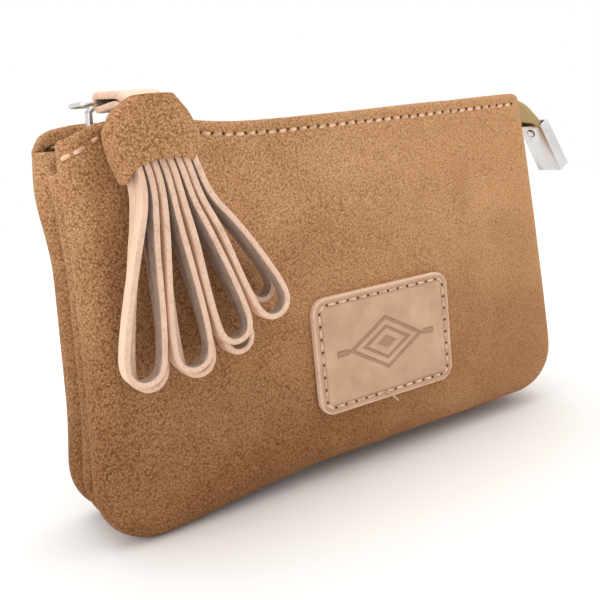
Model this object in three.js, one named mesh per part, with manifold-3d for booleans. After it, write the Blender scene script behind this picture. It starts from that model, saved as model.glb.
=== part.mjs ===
// Three-pouch zip purse in suede, standing upright, with a lace tassel on its zip slider.
// Millimetres. X runs along the purse towards the zip's loose tail, Y towards the rear, Z up.
// The origin is the middle of the flat strip that the front pouch stands on.
import * as THREE from "three";
import { mergeVertices } from "three/addons/utils/BufferGeometryUtils.js";
import Module from "manifold-3d";

// ---------- sizes ----------
const clearance = 0.3; // between pieces that touch on the real purse

// pouches
const purseLength = 145; // over the turned side edges, low down
const rimHeight = 89.5; // rim above the floor, away from the slider
const endPouchDepth = 10.5; // front and rear pouch, face to back
const middlePouchDepth = 8;
const pouchGap = 0.5;
const suede = 1.4; // one wall with its turned edge
const innerWall = 1.2; // wall that closes the back of a pouch
const cornerRadius = 14; // bottom corners
const leftTopInset = 4.6; // how far the sides lean in by the rim
const rightTopInset = 8.8;
const rimHump = 3.2; // the rim is pushed up beside the parked slider
const rimHumpWidth = 16;
const rimEndDrop = 3;
const footCut = 0.35; // depth of the flat pressed into the front pouch's base
const faceBulge = 1.6;
const innerWallBelowRim = 7.5;
const middleBelowRim = 9.5;
const middleEarRise = 6; // the middle pouch's left end stands higher

// patch
const patchLength = 42.7;
const patchHeight = 29;
const patchThick = 1.4;
const patchCorner = 4;
const patchX = 5.8;
const patchZ = 32.2;

// zip
const zipBelowRim = 1.5;
const tapeThick = 0.8;
const tapeDrop = 8; // length of tape sewn down inside the rim
const tapeLeftRoom = 0.65; // between the tape's ends and the turned side edges
const tapeRightRoom = 0.85;
const toothPitch = 2.4;
const toothLength = 1.2;
const teethHeight = 2.2;
const teethGap = 1.5; // between the two rows
const teethLeftMargin = 4; // bare tape beyond the teeth
const teethRightMargin = 3.6;
const stopLength = 2;

// slider
const sliderLength = 16;
const sliderWidth = 9.2;
const sliderPlate = 1;
const sliderMouth = 3.6; // between the plates
const sliderPost = 0.8;
const bridgeWidth = 2.4;
const bridgeThick = 1;

// pull ring
const ringWire = 1.3;
const ringLength = 14.25; // along the wire's centre line
const ringHalfWidth = 4.6;
const ringCorner = 1.6;
const ringAboveZip = 8.3;
const ringForward = 5; // its right end, ahead of the slider's middle

// tassel
const strapThick = 3.6; // two layers of the strap together
const strapWidth = 9;
const strapEye = 1.1; // radius of the fold round the ring
const strapBend = 8;
const laceWide = 3.6;
const laceThick = 1.5;
const laceGap = 0.25;
const laceInCollar = 5;
const collarLength = 16.5;
const collarRearLength = 10.5;
const collarWall = 1.3;
const collarRoom = 1; // beside the laces
const collarLowerFlare = 0.4;
const collarUpperFlare = 0.7;
const collarTilt = 20; // degrees, its top leaning to the left
const collarBelowZip = 7.4;
const loopsPerLayer = 4;
const frontLoops = { lean: [-9.5, 2, 13.5, 26], drop: [42, 41, 38, 37], wide: [10, 10, 9.2, 9.6] };
const rearLoops = { lean: [-5.5, 5.5, 16, 28], drop: [44, 43.5, 42, 34], wide: [9.4, 9.4, 8.6, 8] };

// tail
const tailWidth = 7.8;
const tailCloth = 0.9;
const clipLength = 16.2;
const clipDepth = 8.6;
const clipThick = 3.7;
const clipMetal = 0.6;
const clipSlant = 30.8; // degrees off the vertical
const screwRadius = 1;

// ---------- places that follow from the sizes ----------
const frontY = 0;
const middleY = frontY + endPouchDepth / 2 + pouchGap + middlePouchDepth / 2;
const rearY = middleY + middlePouchDepth / 2 + pouchGap + endPouchDepth / 2;
const frontFace = frontY - endPouchDepth / 2;
const zipY = middleY;
const halfLength = purseLength / 2;
const zipHeight = rimHeight - zipBelowRim;
const innerWallTop = rimHeight - innerWallBelowRim;
const middleTop = rimHeight - middleBelowRim;
const tapeLeft = -halfLength + leftTopInset + endPouchDepth / 2 + tapeLeftRoom;
const tapeRight = halfLength - rightTopInset - endPouchDepth / 2 - tapeRightRoom;
const teethLeft = tapeLeft + teethLeftMargin;
const teethRight = tapeRight - teethRightMargin;
const sliderX = teethLeft + sliderLength / 2 + 0.5; // middle of the slider, zip closed
const ringRight = sliderX + ringForward;
const ringLeft = ringRight - ringLength;
const ringZ = zipHeight + ringAboveZip;
const collarFoot = [sliderX - 0.7, zipHeight - collarBelowZip];
const patchBack = frontFace - faceBulge - clearance;
const laceRear = patchBack - patchThick - 0.5; // the tassel clears the patch as the slider runs
const laceMiddleY = laceRear - laceWide - clearance / 2;
const strapY = zipY - ringHalfWidth;
const rad = THREE.MathUtils.degToRad;

const wasm = await Module();
wasm.setup();

// ---------- helpers ----------
const suedeColour = 0xbe8c5a;
const materials = {
  suede: [suedeColour, 0.95, 0],
  lining: [0xa9784a, 0.95, 0],
  tape: [0xaa9560, 0.85, 0],
  leather: [0xecccb4, 0.6, 0],
  metal: [0xc8c8cc, 0.25, 1],
};

const group = new THREE.Group();
group.name = "triple_pouch_purse";

function addMesh(name, geometry, look) {
  const [color, roughness, metalness] = materials[look];
  const material = new THREE.MeshStandardMaterial({ color, roughness, metalness });
  const mesh = new THREE.Mesh(geometry, material);
  mesh.name = name;
  group.add(mesh);
  return mesh;
}

function solidFrom(geometry) {
  const plain = geometry.clone();
  plain.deleteAttribute("normal");
  plain.deleteAttribute("uv");
  const merged = mergeVertices(plain, 1e-4);
  const mesh = new wasm.Mesh({
    numProp: 3,
    vertProperties: new Float32Array(merged.attributes.position.array),
    triVerts: new Uint32Array(merged.index.array),
  });
  return new wasm.Manifold(mesh);
}

function geometryFrom(solid) {
  const mesh = solid.getMesh();
  const geometry = new THREE.BufferGeometry();
  geometry.setAttribute("position", new THREE.BufferAttribute(mesh.vertProperties, 3));
  geometry.setIndex(new THREE.BufferAttribute(mesh.triVerts, 1));
  const flat = geometry.toNonIndexed();
  flat.computeVertexNormals();
  return flat;
}

function meshGeometry(points, faces) {
  const geometry = new THREE.BufferGeometry();
  geometry.setAttribute("position", new THREE.Float32BufferAttribute(points.flat(), 3));
  geometry.setIndex(faces.flat());
  geometry.computeVertexNormals();
  return geometry;
}

// A flat outline drawn in X and Z, given thickness along Y from low to high.
function plateY(outline, low, high, holes = []) {
  const shape = new THREE.Shape(outline.map(([x, z]) => new THREE.Vector2(x, z)));
  for (const hole of holes) {
    shape.holes.push(new THREE.Path(hole.map(([x, z]) => new THREE.Vector2(x, z))));
  }
  const geometry = new THREE.ExtrudeGeometry(shape, { depth: high - low, bevelEnabled: false });
  return geometry.rotateX(Math.PI / 2).translate(0, high, 0);
}

// A flat outline drawn in Y and Z, given thickness along X from low to high.
function plateX(outline, low, high) {
  const shape = new THREE.Shape(outline.map(([y, z]) => new THREE.Vector2(y, z)));
  const geometry = new THREE.ExtrudeGeometry(shape, { depth: high - low, bevelEnabled: false });
  return geometry.rotateX(Math.PI / 2).rotateZ(Math.PI / 2).translate(low, 0, 0);
}

function box(x0, x1, y0, y1, z0, z1) {
  const geometry = new THREE.BoxGeometry(x1 - x0, y1 - y0, z1 - z0);
  return geometry.translate((x0 + x1) / 2, (y0 + y1) / 2, (z0 + z1) / 2);
}

// Rings of points joined into a skin; an open skin is capped at both ends.
function loft(rings, closed) {
  const count = rings[0].length;
  const faces = [];
  const last = closed ? rings.length : rings.length - 1;
  for (let i = 0; i < last; i++) {
    const a = i * count;
    const b = ((i + 1) % rings.length) * count;
    for (let k = 0; k < count; k++) {
      const n = (k + 1) % count;
      faces.push([a + k, a + n, b + n], [a + k, b + n, b + k]);
    }
  }
  if (!closed) {
    const flat = rings[0].section.map(([u, v]) => new THREE.Vector2(u, v));
    const end = (rings.length - 1) * count;
    const turn = Math.sign(THREE.ShapeUtils.area(flat));
    for (const [p, q, r] of THREE.ShapeUtils.triangulateShape(flat, [])) {
      const same = Math.sign(THREE.ShapeUtils.area([flat[p], flat[q], flat[r]])) === turn;
      const [a, b, c] = same ? [p, q, r] : [p, r, q];
      faces.push([c, b, a], [end + a, end + b, end + c]);
    }
  }
  return meshGeometry(rings.flat(), faces);
}

// A band of even thickness that follows a line of points in its plane.
function band(line, thick) {
  const left = [];
  const right = [];
  line.forEach((point, i) => {
    const before = line[Math.max(i - 1, 0)];
    const after = line[Math.min(i + 1, line.length - 1)];
    const along = new THREE.Vector2(after[0] - before[0], after[1] - before[1]).normalize();
    left.push([point[0] - (along.y * thick) / 2, point[1] + (along.x * thick) / 2]);
    right.push([point[0] + (along.y * thick) / 2, point[1] - (along.x * thick) / 2]);
  });
  return [...right, ...left.reverse()];
}

function roundedBox(halfX, halfY, radius, steps = 4) {
  const points = [];
  const corners = [[1, 1, 0], [-1, 1, 90], [-1, -1, 180], [1, -1, 270]];
  for (const [sx, sy, start] of corners) {
    for (let k = 0; k <= steps; k++) {
      const a = rad(start + (90 * k) / steps);
      const x = sx * (halfX - radius) + radius * Math.cos(a);
      const y = sy * (halfY - radius) + radius * Math.sin(a);
      points.push([x, y]);
    }
  }
  return points;
}

const smooth = (t) => {
  const c = THREE.MathUtils.clamp(t, 0, 1);
  return c * c * (3 - 2 * c);
};

// ---------- pouches ----------
const cornerSteps = 4;
const upperRows = 5;
const columns = 12;
const edgeSteps = 6;

function rimAt(x) {
  const hump = rimHump * Math.exp(-(((x - sliderX + 3) / rimHumpWidth) ** 2));
  const left = smooth((x + halfLength - 3) / 9);
  const right = smooth((halfLength - rightTopInset - x) / 6);
  return rimHeight + hump - rimEndDrop * (2 - left - right);
}

function middleRimAt(x) {
  return middleTop + middleEarRise * smooth((tapeLeft + 1 - x) / 4);
}

// The flat heart of a pouch, inside its rounded edges: rows of [left, right, height].
function heartRows(depthHalf, sink, inset, top) {
  const low = depthHalf - sink + inset;
  const corner = cornerRadius - depthHalf - inset;
  const sides = (z) => [
    -halfLength + depthHalf + inset + leftTopInset * (z / rimHeight),
    halfLength - depthHalf - inset - rightTopInset * Math.max(z / rimHeight, 0) ** 1.5,
  ];
  const rows = [];
  for (let k = 0; k <= cornerSteps; k++) {
    const a = (Math.PI / 2) * (k / cornerSteps);
    const z = low + corner * (1 - Math.cos(a));
    const [l, r] = sides(z);
    rows.push([l + corner * (1 - Math.sin(a)), r - corner * (1 - Math.sin(a)), z]);
  }
  for (let k = 1; k <= upperRows; k++) {
    const z = low + corner + ((top - low - corner) * k) / upperRows;
    rows.push([...sides(z), z]);
  }
  return rows;
}

// One closed pouch-shaped body. Its face looks along -Y when facing is 1 and along +Y when -1.
function pillow({ centreY, depthHalf, half, sink = 0, rim, nominal, lift = 0, bulge = 0, facing = 1 }) {
  const rows = heartRows(depthHalf, sink, 0, nominal + lift);
  const start = rows[cornerSteps][2];
  const low = rows[0][2];
  const points = [];
  const add = (x, y, z) => points.push([x, centreY + facing * y, z]) - 1;
  const grid = rows.map(([l, r, z], j) =>
    Array.from({ length: columns + 1 }, (_, i) => {
      const x = l + ((r - l) * i) / columns;
      if (j <= cornerSteps) return [x, z];
      const share = (z - start) / (nominal + lift - start);
      return [x, start + share * (rim(x) + lift - start)];
    }),
  );
  const swell = (i, z) => {
    const u = i / columns;
    const w = THREE.MathUtils.clamp((z - low) / (nominal - low), 0, 1) ** 0.75;
    return bulge * smooth(4 * u * (1 - u)) * smooth(4 * w * (1 - w));
  };
  const face = grid.map((row) => row.map(([x, z], i) => add(x, -half - swell(i, z), z)));
  const back = grid.map((row) => row.map(([x, z]) => add(x, half, z)));
  const top = rows.length - 1;

  const path = [];
  for (let j = top; j > 0; j--) path.push([j, 0]);
  for (let i = 0; i <= columns; i++) path.push([0, i]);
  for (let j = 1; j <= top; j++) path.push([j, columns]);
  const edge = path.map(([j, i], k) => {
    const [aj, ai] = path[Math.max(k - 1, 0)];
    const [bj, bi] = path[Math.min(k + 1, path.length - 1)];
    const [ax, az] = grid[aj][ai];
    const [bx, bz] = grid[bj][bi];
    const out = new THREE.Vector2(bz - az, ax - bx).normalize();
    const [x, z] = grid[j][i];
    const ring = [face[j][i]];
    for (let m = 1; m < edgeSteps; m++) {
      const a = -Math.PI / 2 + (Math.PI * m) / edgeSteps;
      const reach = half * Math.cos(a);
      ring.push(add(x + out.x * reach, half * Math.sin(a), z + out.y * reach));
    }
    ring.push(back[j][i]);
    return ring;
  });

  const faces = [];
  for (let j = 0; j < top; j++) {
    for (let i = 0; i < columns; i++) {
      const f = [face[j][i], face[j][i + 1], face[j + 1][i + 1], face[j + 1][i]];
      const b = [back[j][i], back[j][i + 1], back[j + 1][i + 1], back[j + 1][i]];
      faces.push([f[0], f[1], f[2]], [f[0], f[2], f[3]], [b[0], b[2], b[1]], [b[0], b[3], b[2]]);
    }
  }
  for (let k = 0; k + 1 < edge.length; k++) {
    for (let m = 0; m < edgeSteps; m++) {
      faces.push([edge[k][m], edge[k][m + 1], edge[k + 1][m + 1]]);
      faces.push([edge[k][m], edge[k + 1][m + 1], edge[k + 1][m]]);
    }
  }
  for (let i = 0; i < columns; i++) {
    faces.push([face[top][i], face[top][i + 1], back[top][i + 1]]);
    faces.push([face[top][i], back[top][i + 1], back[top][i]]);
  }
  const first = edge[0];
  const end = edge[edge.length - 1];
  for (let m = 1; m < edgeSteps; m++) {
    faces.push([first[0], first[m + 1], first[m]], [end[0], end[m], end[m + 1]]);
  }
  if (facing < 0) faces.forEach((f) => f.reverse());
  return meshGeometry(points, faces);
}

function heartOutline(depthHalf, sink, inset, top, rim) {
  const rows = heartRows(depthHalf, sink, inset, top);
  const left = rows.map(([l, , z]) => [l, z]);
  const right = rows.map(([, r, z]) => [r, z]);
  const end = left.length - 1;
  const across = [];
  for (let i = 1; i < columns; i++) {
    const x = right[end][0] + ((left[end][0] - right[end][0]) * i) / columns;
    across.push([x, rim ? rim(x) : top]);
  }
  if (rim) {
    left[end][1] = rim(left[end][0]);
    right[end][1] = rim(right[end][0]);
  }
  return [...right, ...(rim ? across : []), ...left.reverse()];
}

// A pouch is a panel whose edges turn round to the back, and a wall that closes its back.
function pouch({ panel, wall, centreY, depth, sink, rim, nominal, wallRim, wallNominal, bulge, facing }) {
  const depthHalf = depth / 2;
  const shared = { centreY, depthHalf, sink, rim, nominal, bulge, facing };
  const outer = solidFrom(pillow({ ...shared, half: depthHalf }));
  const hollow = solidFrom(pillow({ ...shared, half: depthHalf - suede, lift: 8 }));
  const opening = heartOutline(depthHalf, sink, 0, nominal + 20);
  const near = centreY + facing * 0.5;
  const far = centreY + facing * (depthHalf + 2);
  const window = solidFrom(plateY(opening, Math.min(near, far), Math.max(near, far)));
  let shell = outer.subtract(hollow).subtract(window);
  if (sink > 0) {
    shell = shell.subtract(solidFrom(box(-halfLength, halfLength, centreY - 20, centreY + 20, -9, 0)));
  }
  addMesh(panel, geometryFrom(shell), "suede");
  const inside = centreY + facing * (depthHalf - innerWall);
  const outside = centreY + facing * depthHalf;
  const sheet = heartOutline(depthHalf, sink, clearance, wallNominal, wallRim);
  addMesh(wall, plateY(sheet, Math.min(inside, outside), Math.max(inside, outside)), "lining");
}

pouch({
  panel: "front_panel", wall: "front_pouch_inner_wall", centreY: frontY, depth: endPouchDepth,
  sink: footCut, rim: rimAt, nominal: rimHeight, wallNominal: innerWallTop, bulge: faceBulge, facing: 1,
});
pouch({
  panel: "middle_panel", wall: "middle_pouch_inner_wall", centreY: middleY, depth: middlePouchDepth,
  sink: 0, rim: middleRimAt, nominal: middleTop, wallNominal: middleTop, bulge: 0, facing: 1,
});
pouch({
  panel: "rear_panel", wall: "rear_pouch_inner_wall", centreY: rearY, depth: endPouchDepth,
  sink: 0, rim: rimAt, nominal: rimHeight, wallNominal: innerWallTop, bulge: faceBulge, facing: -1,
});

// ---------- patch ----------
const patchShape = roundedBox(patchLength / 2, patchHeight / 2, patchCorner, 5);
const patchOutline = patchShape.map(([x, z]) => [x + patchX, z + patchZ]);
addMesh("leather_patch", plateY(patchOutline, patchBack - patchThick, patchBack), "leather");

// ---------- zip ----------
// Tape sewn down the inside of a rim, bending over to the teeth at the middle. side is -1 in front.
function tapeOutline(side) {
  const reach = rearY - zipY + endPouchDepth / 2 - suede - clearance - tapeThick / 2;
  const inner = teethGap / 2 + 1.95;
  const line = [
    [reach, zipHeight - tapeDrop], [reach, zipHeight - 2.4], [reach - 0.8, zipHeight - 0.9],
    [reach - 2.4, zipHeight], [inner, zipHeight],
  ];
  return band(line, tapeThick).map(([y, z]) => [zipY + side * y, z]);
}

// A comb of teeth on a spine, one body per row.
function teethOutline(side) {
  const tip = teethGap / 2;
  const root = tip + 0.75;
  const spine = tip + 1.6;
  const points = [[teethLeft, spine], [teethLeft, root]];
  for (let x = teethLeft + 0.4; x + toothLength < teethRight; x += toothPitch) {
    points.push([x, root], [x, tip], [x + toothLength, tip], [x + toothLength, root]);
  }
  points.push([teethRight, root], [teethRight, spine]);
  return points.map(([x, y]) => [x, zipY + side * y]);
}

for (const [name, side] of [["front", -1], ["rear", 1]]) {
  const tape = tapeOutline(side);
  addMesh(`${name}_zip_tape`, plateX(side < 0 ? tape.slice().reverse() : tape, tapeLeft, tapeRight), "tape");
  const comb = new THREE.Shape(teethOutline(side).map(([x, y]) => new THREE.Vector2(x, y)));
  const teeth = new THREE.ExtrudeGeometry(comb, { depth: teethHeight, bevelEnabled: false });
  addMesh(`${name}_zip_teeth`, teeth.translate(0, 0, zipHeight - teethHeight / 2), "metal");
  const inner = zipY + (side * teethGap) / 2;
  const outer = zipY + side * (teethGap / 2 + 1.6);
  const stop = box(
    teethLeft - clearance - stopLength, teethLeft - clearance, Math.min(inner, outer),
    Math.max(inner, outer), zipHeight - teethHeight / 2, zipHeight + teethHeight / 2,
  );
  addMesh(`${name}_top_stop`, stop, "metal");
}
const stopHalf = teethGap / 2 + 1.6;
const bottomStop = box(
  teethRight + clearance, teethRight + clearance + stopLength, zipY - stopHalf, zipY + stopHalf,
  zipHeight - teethHeight / 2, zipHeight + teethHeight / 2,
);
addMesh("bottom_stop", bottomStop, "metal");

// ---------- slider ----------
// Two plates over and under the teeth, joined by a post that runs between the rows.
const sliderOutline = [
  [-0.5, -0.36], [-0.42, -0.45], [0.25, -0.5], [0.5, -0.3],
  [0.5, 0.3], [0.25, 0.5], [-0.42, 0.45], [-0.5, 0.36],
];
function sliderPlateAt(z) {
  const points = sliderOutline.map(
    ([x, y]) => new THREE.Vector2(sliderX + x * sliderLength, zipY + y * sliderWidth),
  );
  const shape = new THREE.Shape(points);
  const plate = new THREE.ExtrudeGeometry(shape, { depth: sliderPlate, bevelEnabled: false });
  return solidFrom(plate.translate(0, 0, z));
}
const sliderNose = sliderX + sliderLength / 2;
const post = box(
  sliderNose - 4.5, sliderNose - 1, zipY - sliderPost / 2, zipY + sliderPost / 2,
  zipHeight - sliderMouth / 2 - 0.2, zipHeight + sliderMouth / 2 + 0.2,
);
const sliderTop = zipHeight + sliderMouth / 2 + sliderPlate;
const sliderBody = sliderPlateAt(zipHeight - sliderMouth / 2 - sliderPlate)
  .add(sliderPlateAt(zipHeight + sliderMouth / 2))
  .add(solidFrom(post));
addMesh("slider_body", geometryFrom(sliderBody), "metal");

// A sloping bridge over the slider, low at the left and high where the ring passes under it.
const bridgeTop = ringZ + ringWire / 2 + 0.55 + bridgeThick / 2;
const bridgeLine = [
  [sliderX - 6.9, sliderTop + clearance], [sliderX - 6.7, ringZ - 1.7], [sliderX - 5.4, ringZ - 0.6],
  [sliderX + 1.5, bridgeTop], [sliderX + 6.2, bridgeTop], [sliderX + 7, bridgeTop - 1.2],
  [sliderX + 7.1, sliderTop + clearance],
];
const bridge = plateY(band(bridgeLine, bridgeThick), zipY - bridgeWidth / 2, zipY + bridgeWidth / 2);
addMesh("slider_bridge", bridge, "metal");

// ---------- pull ring ----------
const ringMiddle = (ringLeft + ringRight) / 2;
const ringPath = roundedBox((ringRight - ringLeft) / 2, ringHalfWidth, ringCorner, 4);
const wireSteps = 8;
const ringRings = ringPath.map(([x, y], i) => {
  const [ax, ay] = ringPath[(i + ringPath.length - 1) % ringPath.length];
  const [bx, by] = ringPath[(i + 1) % ringPath.length];
  const out = new THREE.Vector2(by - ay, ax - bx).normalize();
  return Array.from({ length: wireSteps }, (_, k) => {
    const a = (2 * Math.PI * k) / wireSteps;
    const reach = (ringWire / 2) * Math.cos(a);
    return [ringMiddle + x + out.x * reach, zipY + y + out.y * reach, ringZ - (ringWire / 2) * Math.sin(a)];
  });
});
addMesh("pull_ring", loft(ringRings, true), "metal");

// ---------- tassel ----------
// The strap folds round the ring's front bar, crosses the rim and turns down into the collar.
const strapRight = ringRight - 2.7;
const strapLeft = strapRight - strapWidth;
const strapLine = [[strapY - 1.2, ringZ], [laceMiddleY + strapBend, ringZ]];
for (let k = 1; k <= 6; k++) {
  const a = (Math.PI / 2) * (k / 6);
  strapLine.push([
    laceMiddleY + strapBend - strapBend * Math.sin(a),
    ringZ - strapBend + strapBend * Math.cos(a),
  ]);
}
strapLine.push([laceMiddleY, ringZ - strapBend - 1.8]);
const circle = (radius, steps) =>
  Array.from({ length: steps }, (_, k) => {
    const a = (2 * Math.PI * k) / steps;
    return [strapY + radius * Math.cos(a), ringZ + radius * Math.sin(a)];
  });
const strapFold = solidFrom(plateX(circle(strapEye + strapThick / 2, 20), strapLeft, strapRight));
const strapHole = solidFrom(plateX(circle(strapEye, 16), strapLeft - 1, strapRight + 1));
const strapRun = solidFrom(plateX(band(strapLine, strapThick), strapLeft, strapRight));
addMesh("tassel_strap", geometryFrom(strapFold.add(strapRun).subtract(strapHole)), "leather");

// The collar is a suede sleeve with a slanting top, higher in front than behind.
const layerHalf = laceWide + clearance / 2;
const legPitch = laceThick + laceGap;
const bundleHalf = legPitch * loopsPerLayer;
function sleeve(extra, low, high) {
  const rings = [[low, collarLowerFlare], [high, collarUpperFlare]].map(([z, flare]) => {
    const halfWidth = bundleHalf + collarRoom + flare + extra;
    const section = roundedBox(halfWidth, layerHalf + clearance + extra, 1 + extra, 3);
    const ring = section.map(([x, y]) => [x, y, z]);
    ring.section = section;
    return ring;
  });
  return solidFrom(loft(rings, false));
}
const slant = plateX(
  [
    [layerHalf + 6, collarRearLength], [layerHalf + 6, collarLength + 5], [-layerHalf - 6, collarLength + 5],
    [-layerHalf - 6, collarLength], [layerHalf, collarRearLength],
  ].reverse(),
  -30, 30,
);
const collarInside = sleeve(0, -2, collarLength + 2);
const collarSolid = sleeve(collarWall, 0, collarLength).subtract(collarInside).subtract(solidFrom(slant));
const collar = addMesh("tassel_collar", geometryFrom(collarSolid), "suede");
collar.position.set(collarFoot[0], laceMiddleY, collarFoot[1]);
collar.rotation.y = -rad(collarTilt);

// Each lace loop is a teardrop: two legs from inside the collar that meet in a round bottom.
function loopLine(lean, drop, wide, slot) {
  const radius = wide / 2 - laceThick / 2;
  const leg = legPitch / 2;
  const straight = drop - radius;
  const half = [[leg, laceInCollar], [leg, 0]];
  for (let k = 1; k <= 6; k++) {
    const t = k / 6;
    half.push([leg + (radius - leg) * smooth(t * 0.98), -straight * t]);
  }
  const bottom = [];
  for (let k = 1; k < 10; k++) {
    const a = (Math.PI * k) / 10;
    bottom.push([radius * Math.cos(a), -straight - radius * Math.sin(a)]);
  }
  const whole = [...half, ...bottom, ...half.slice().reverse().map(([x, z]) => [-x, z])];
  const a = rad(lean);
  return whole.map(([x, z]) => {
    if (z > 0) return [collarFoot[0] + slot + x - z * Math.tan(rad(collarTilt)), collarFoot[1] + z];
    const ease = smooth(-z / 12);
    const turn = a * ease;
    return [
      collarFoot[0] + slot + x * Math.cos(turn) - z * Math.sin(turn),
      collarFoot[1] + z * Math.cos(turn) + x * Math.sin(turn) * ease,
    ];
  });
}

function addLoops(prefix, loops, rearFace) {
  for (let i = 0; i < loopsPerLayer; i++) {
    const slot = (i - (loopsPerLayer - 1) / 2) * 2 * legPitch;
    const line = loopLine(loops.lean[i], loops.drop[i], loops.wide[i], slot);
    const lace = plateY(band(line, laceThick), rearFace - laceWide, rearFace);
    addMesh(`${prefix}_lace_loop_${i + 1}`, lace, "leather");
  }
}
addLoops("rear", rearLoops, laceRear);
addLoops("front", frontLoops, laceRear - laceWide - clearance);

// ---------- tail ----------
// The zip's loose end: tape folded over into a channel that is open underneath, arching down to the clip.
const slantAngle = rad(clipSlant);
const tailStart = [tapeRight + 1.4, zipHeight + 0.4];
const fromStart = (along, down) => [tailStart[0] + along, tailStart[1] - down];
const clipTop = fromStart(18.6, 9.9); // upper end of the clip's inner plate, in X and Z
const alongClip = [Math.sin(slantAngle), -Math.cos(slantAngle)];
const acrossClip = [Math.cos(slantAngle), Math.sin(slantAngle)];
const clipAt = (along, across) => [
  clipTop[0] + alongClip[0] * along + acrossClip[0] * across,
  clipTop[1] + alongClip[1] * along + acrossClip[1] * across,
];
const tailInClip = clipThick - clipMetal - clearance;
const tailFlat = tailInClip - clipMetal - clearance;
const tailStations = [
  // outer line of the fold in X and Z, way in from it, depth of the fold
  [fromStart(0, 0), -90, 7], [fromStart(5.5, 0.2), -95, 6.8], [fromStart(10.5, 1.4), -107, 6.2],
  [fromStart(14.8, 3.4), -118, 5], [fromStart(18.4, 6), -130, 3.6],
  [clipAt(-0.6, tailInClip), -180 + clipSlant, tailFlat],
  [clipAt(clipLength - 1, tailInClip), -180 + clipSlant, tailFlat],
];
const tailRings = tailStations.map(([[x, z], way, depth]) => {
  const w = tailWidth / 2;
  const section = [
    [-w, 0], [-w, depth], [-w + tailCloth, depth], [-w + tailCloth, tailCloth],
    [w - tailCloth, tailCloth], [w - tailCloth, depth], [w, depth], [w, 0],
  ];
  const a = rad(way);
  const ring = section.map(([y, d]) => [x + d * Math.cos(a), zipY + y, z + d * Math.sin(a)]);
  ring.section = section;
  return ring;
});
addMesh("tail_tape", loft(tailRings, false), "tape");

const clipFront = zipY - tailWidth / 2 - clearance - clipMetal;
const clipSection = [
  [0, clipDepth], [clipMetal, clipDepth], [clipMetal, clipMetal], [clipThick - clipMetal, clipMetal],
  [clipThick - clipMetal, clipDepth], [clipThick, clipDepth], [clipThick, 0], [0, 0],
];
const clipRings = [0, clipLength].map((along) => {
  const ring = clipSection.map(([across, depth]) => {
    const [x, z] = clipAt(along, across);
    return [x, clipFront + depth, z];
  });
  ring.section = clipSection;
  return ring;
});
const screwPlace = { along: 2.4, depth: 4.8 };
function screwAt(radius, low, high) {
  const geometry = new THREE.CylinderGeometry(radius, radius, high - low, 16);
  const [x, z] = clipAt(screwPlace.along, (low + high) / 2);
  geometry.rotateX(Math.PI / 2).rotateY(Math.PI / 2 - slantAngle);
  return geometry.translate(x, clipFront + screwPlace.depth, z);
}
const screwHole = solidFrom(screwAt(screwRadius + clearance, -2, clipMetal + 0.1));
const clipSolid = solidFrom(loft(clipRings, false)).subtract(screwHole);
addMesh("end_clip", geometryFrom(clipSolid), "metal");
addMesh("clip_screw", screwAt(screwRadius, -0.3, clipMetal), "metal");

export default group;
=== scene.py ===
"""Builds the looks of a three-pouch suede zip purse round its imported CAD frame.

Metres, +Z up, X along the purse towards the loose end of the zip, Y towards the rear.
"""

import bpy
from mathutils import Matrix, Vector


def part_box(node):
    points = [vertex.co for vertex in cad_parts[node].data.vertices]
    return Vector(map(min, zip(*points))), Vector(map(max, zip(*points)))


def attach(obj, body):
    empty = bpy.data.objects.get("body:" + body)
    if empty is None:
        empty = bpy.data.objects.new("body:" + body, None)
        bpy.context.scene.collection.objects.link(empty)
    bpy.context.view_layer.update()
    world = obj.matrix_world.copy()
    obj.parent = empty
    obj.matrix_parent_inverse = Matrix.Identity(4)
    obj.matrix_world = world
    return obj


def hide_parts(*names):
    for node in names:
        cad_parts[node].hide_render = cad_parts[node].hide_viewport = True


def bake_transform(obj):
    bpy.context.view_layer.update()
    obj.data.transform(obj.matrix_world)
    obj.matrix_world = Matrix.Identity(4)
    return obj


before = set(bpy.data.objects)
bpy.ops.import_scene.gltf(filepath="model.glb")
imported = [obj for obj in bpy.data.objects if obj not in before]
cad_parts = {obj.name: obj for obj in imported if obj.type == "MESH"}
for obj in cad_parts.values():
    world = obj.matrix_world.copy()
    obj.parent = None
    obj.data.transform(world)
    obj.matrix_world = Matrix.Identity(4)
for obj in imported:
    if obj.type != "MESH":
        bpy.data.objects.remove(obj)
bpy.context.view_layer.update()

import contextlib
import math
import random
from typing import NamedTuple

import bmesh
import bpy
from mathutils import Matrix, Vector, noise

bl_info = {
    "name": "Three-pouch zip purse",
    "version": (1, 0, 0),
    "blender": (4, 5, 0),
    "location": "View3D > Sidebar > Purse",
    "description": "Suede purse with a lace tassel on its zip slider",
    "category": "Add Mesh",
}

MM = 0.001
MERGE_WITHIN = 0.002 * MM

# ---------- shape of the purse, as the frame has it ----------
HALF_LENGTH = 72.5 * MM
RIM_HEIGHT = 89.5 * MM
CORNER_RADIUS = 14 * MM
LEFT_LEAN = 4.6 * MM  # how far the sides lean in by the rim
RIGHT_LEAN = 8.8 * MM
RIM_HUMP = 3.2 * MM
RIM_HUMP_X = -52.5 * MM
RIM_HUMP_WIDTH = 16 * MM
RIM_END_DROP = 3 * MM
MIDDLE_RIM = 80 * MM
MIDDLE_EAR_RISE = 6 * MM
CORNER_ROWS = 6
FRONT_SINK = 0.35 * MM  # the flat pressed into the base of the front pouch
COLUMNS = 116
EDGE_STEPS = 12
TAPE_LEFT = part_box("front_zip_tape")[0].x
ZIP_Y = (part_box("slider_body")[0].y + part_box("slider_body")[1].y) / 2
ZIP_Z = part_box("front_zip_tape")[1].z - 0.4 * MM
PATCH_LOW, PATCH_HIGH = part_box("leather_patch")
RING_LOW, RING_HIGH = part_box("pull_ring")
TOOTH_PITCH = 2.4 * MM

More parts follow.
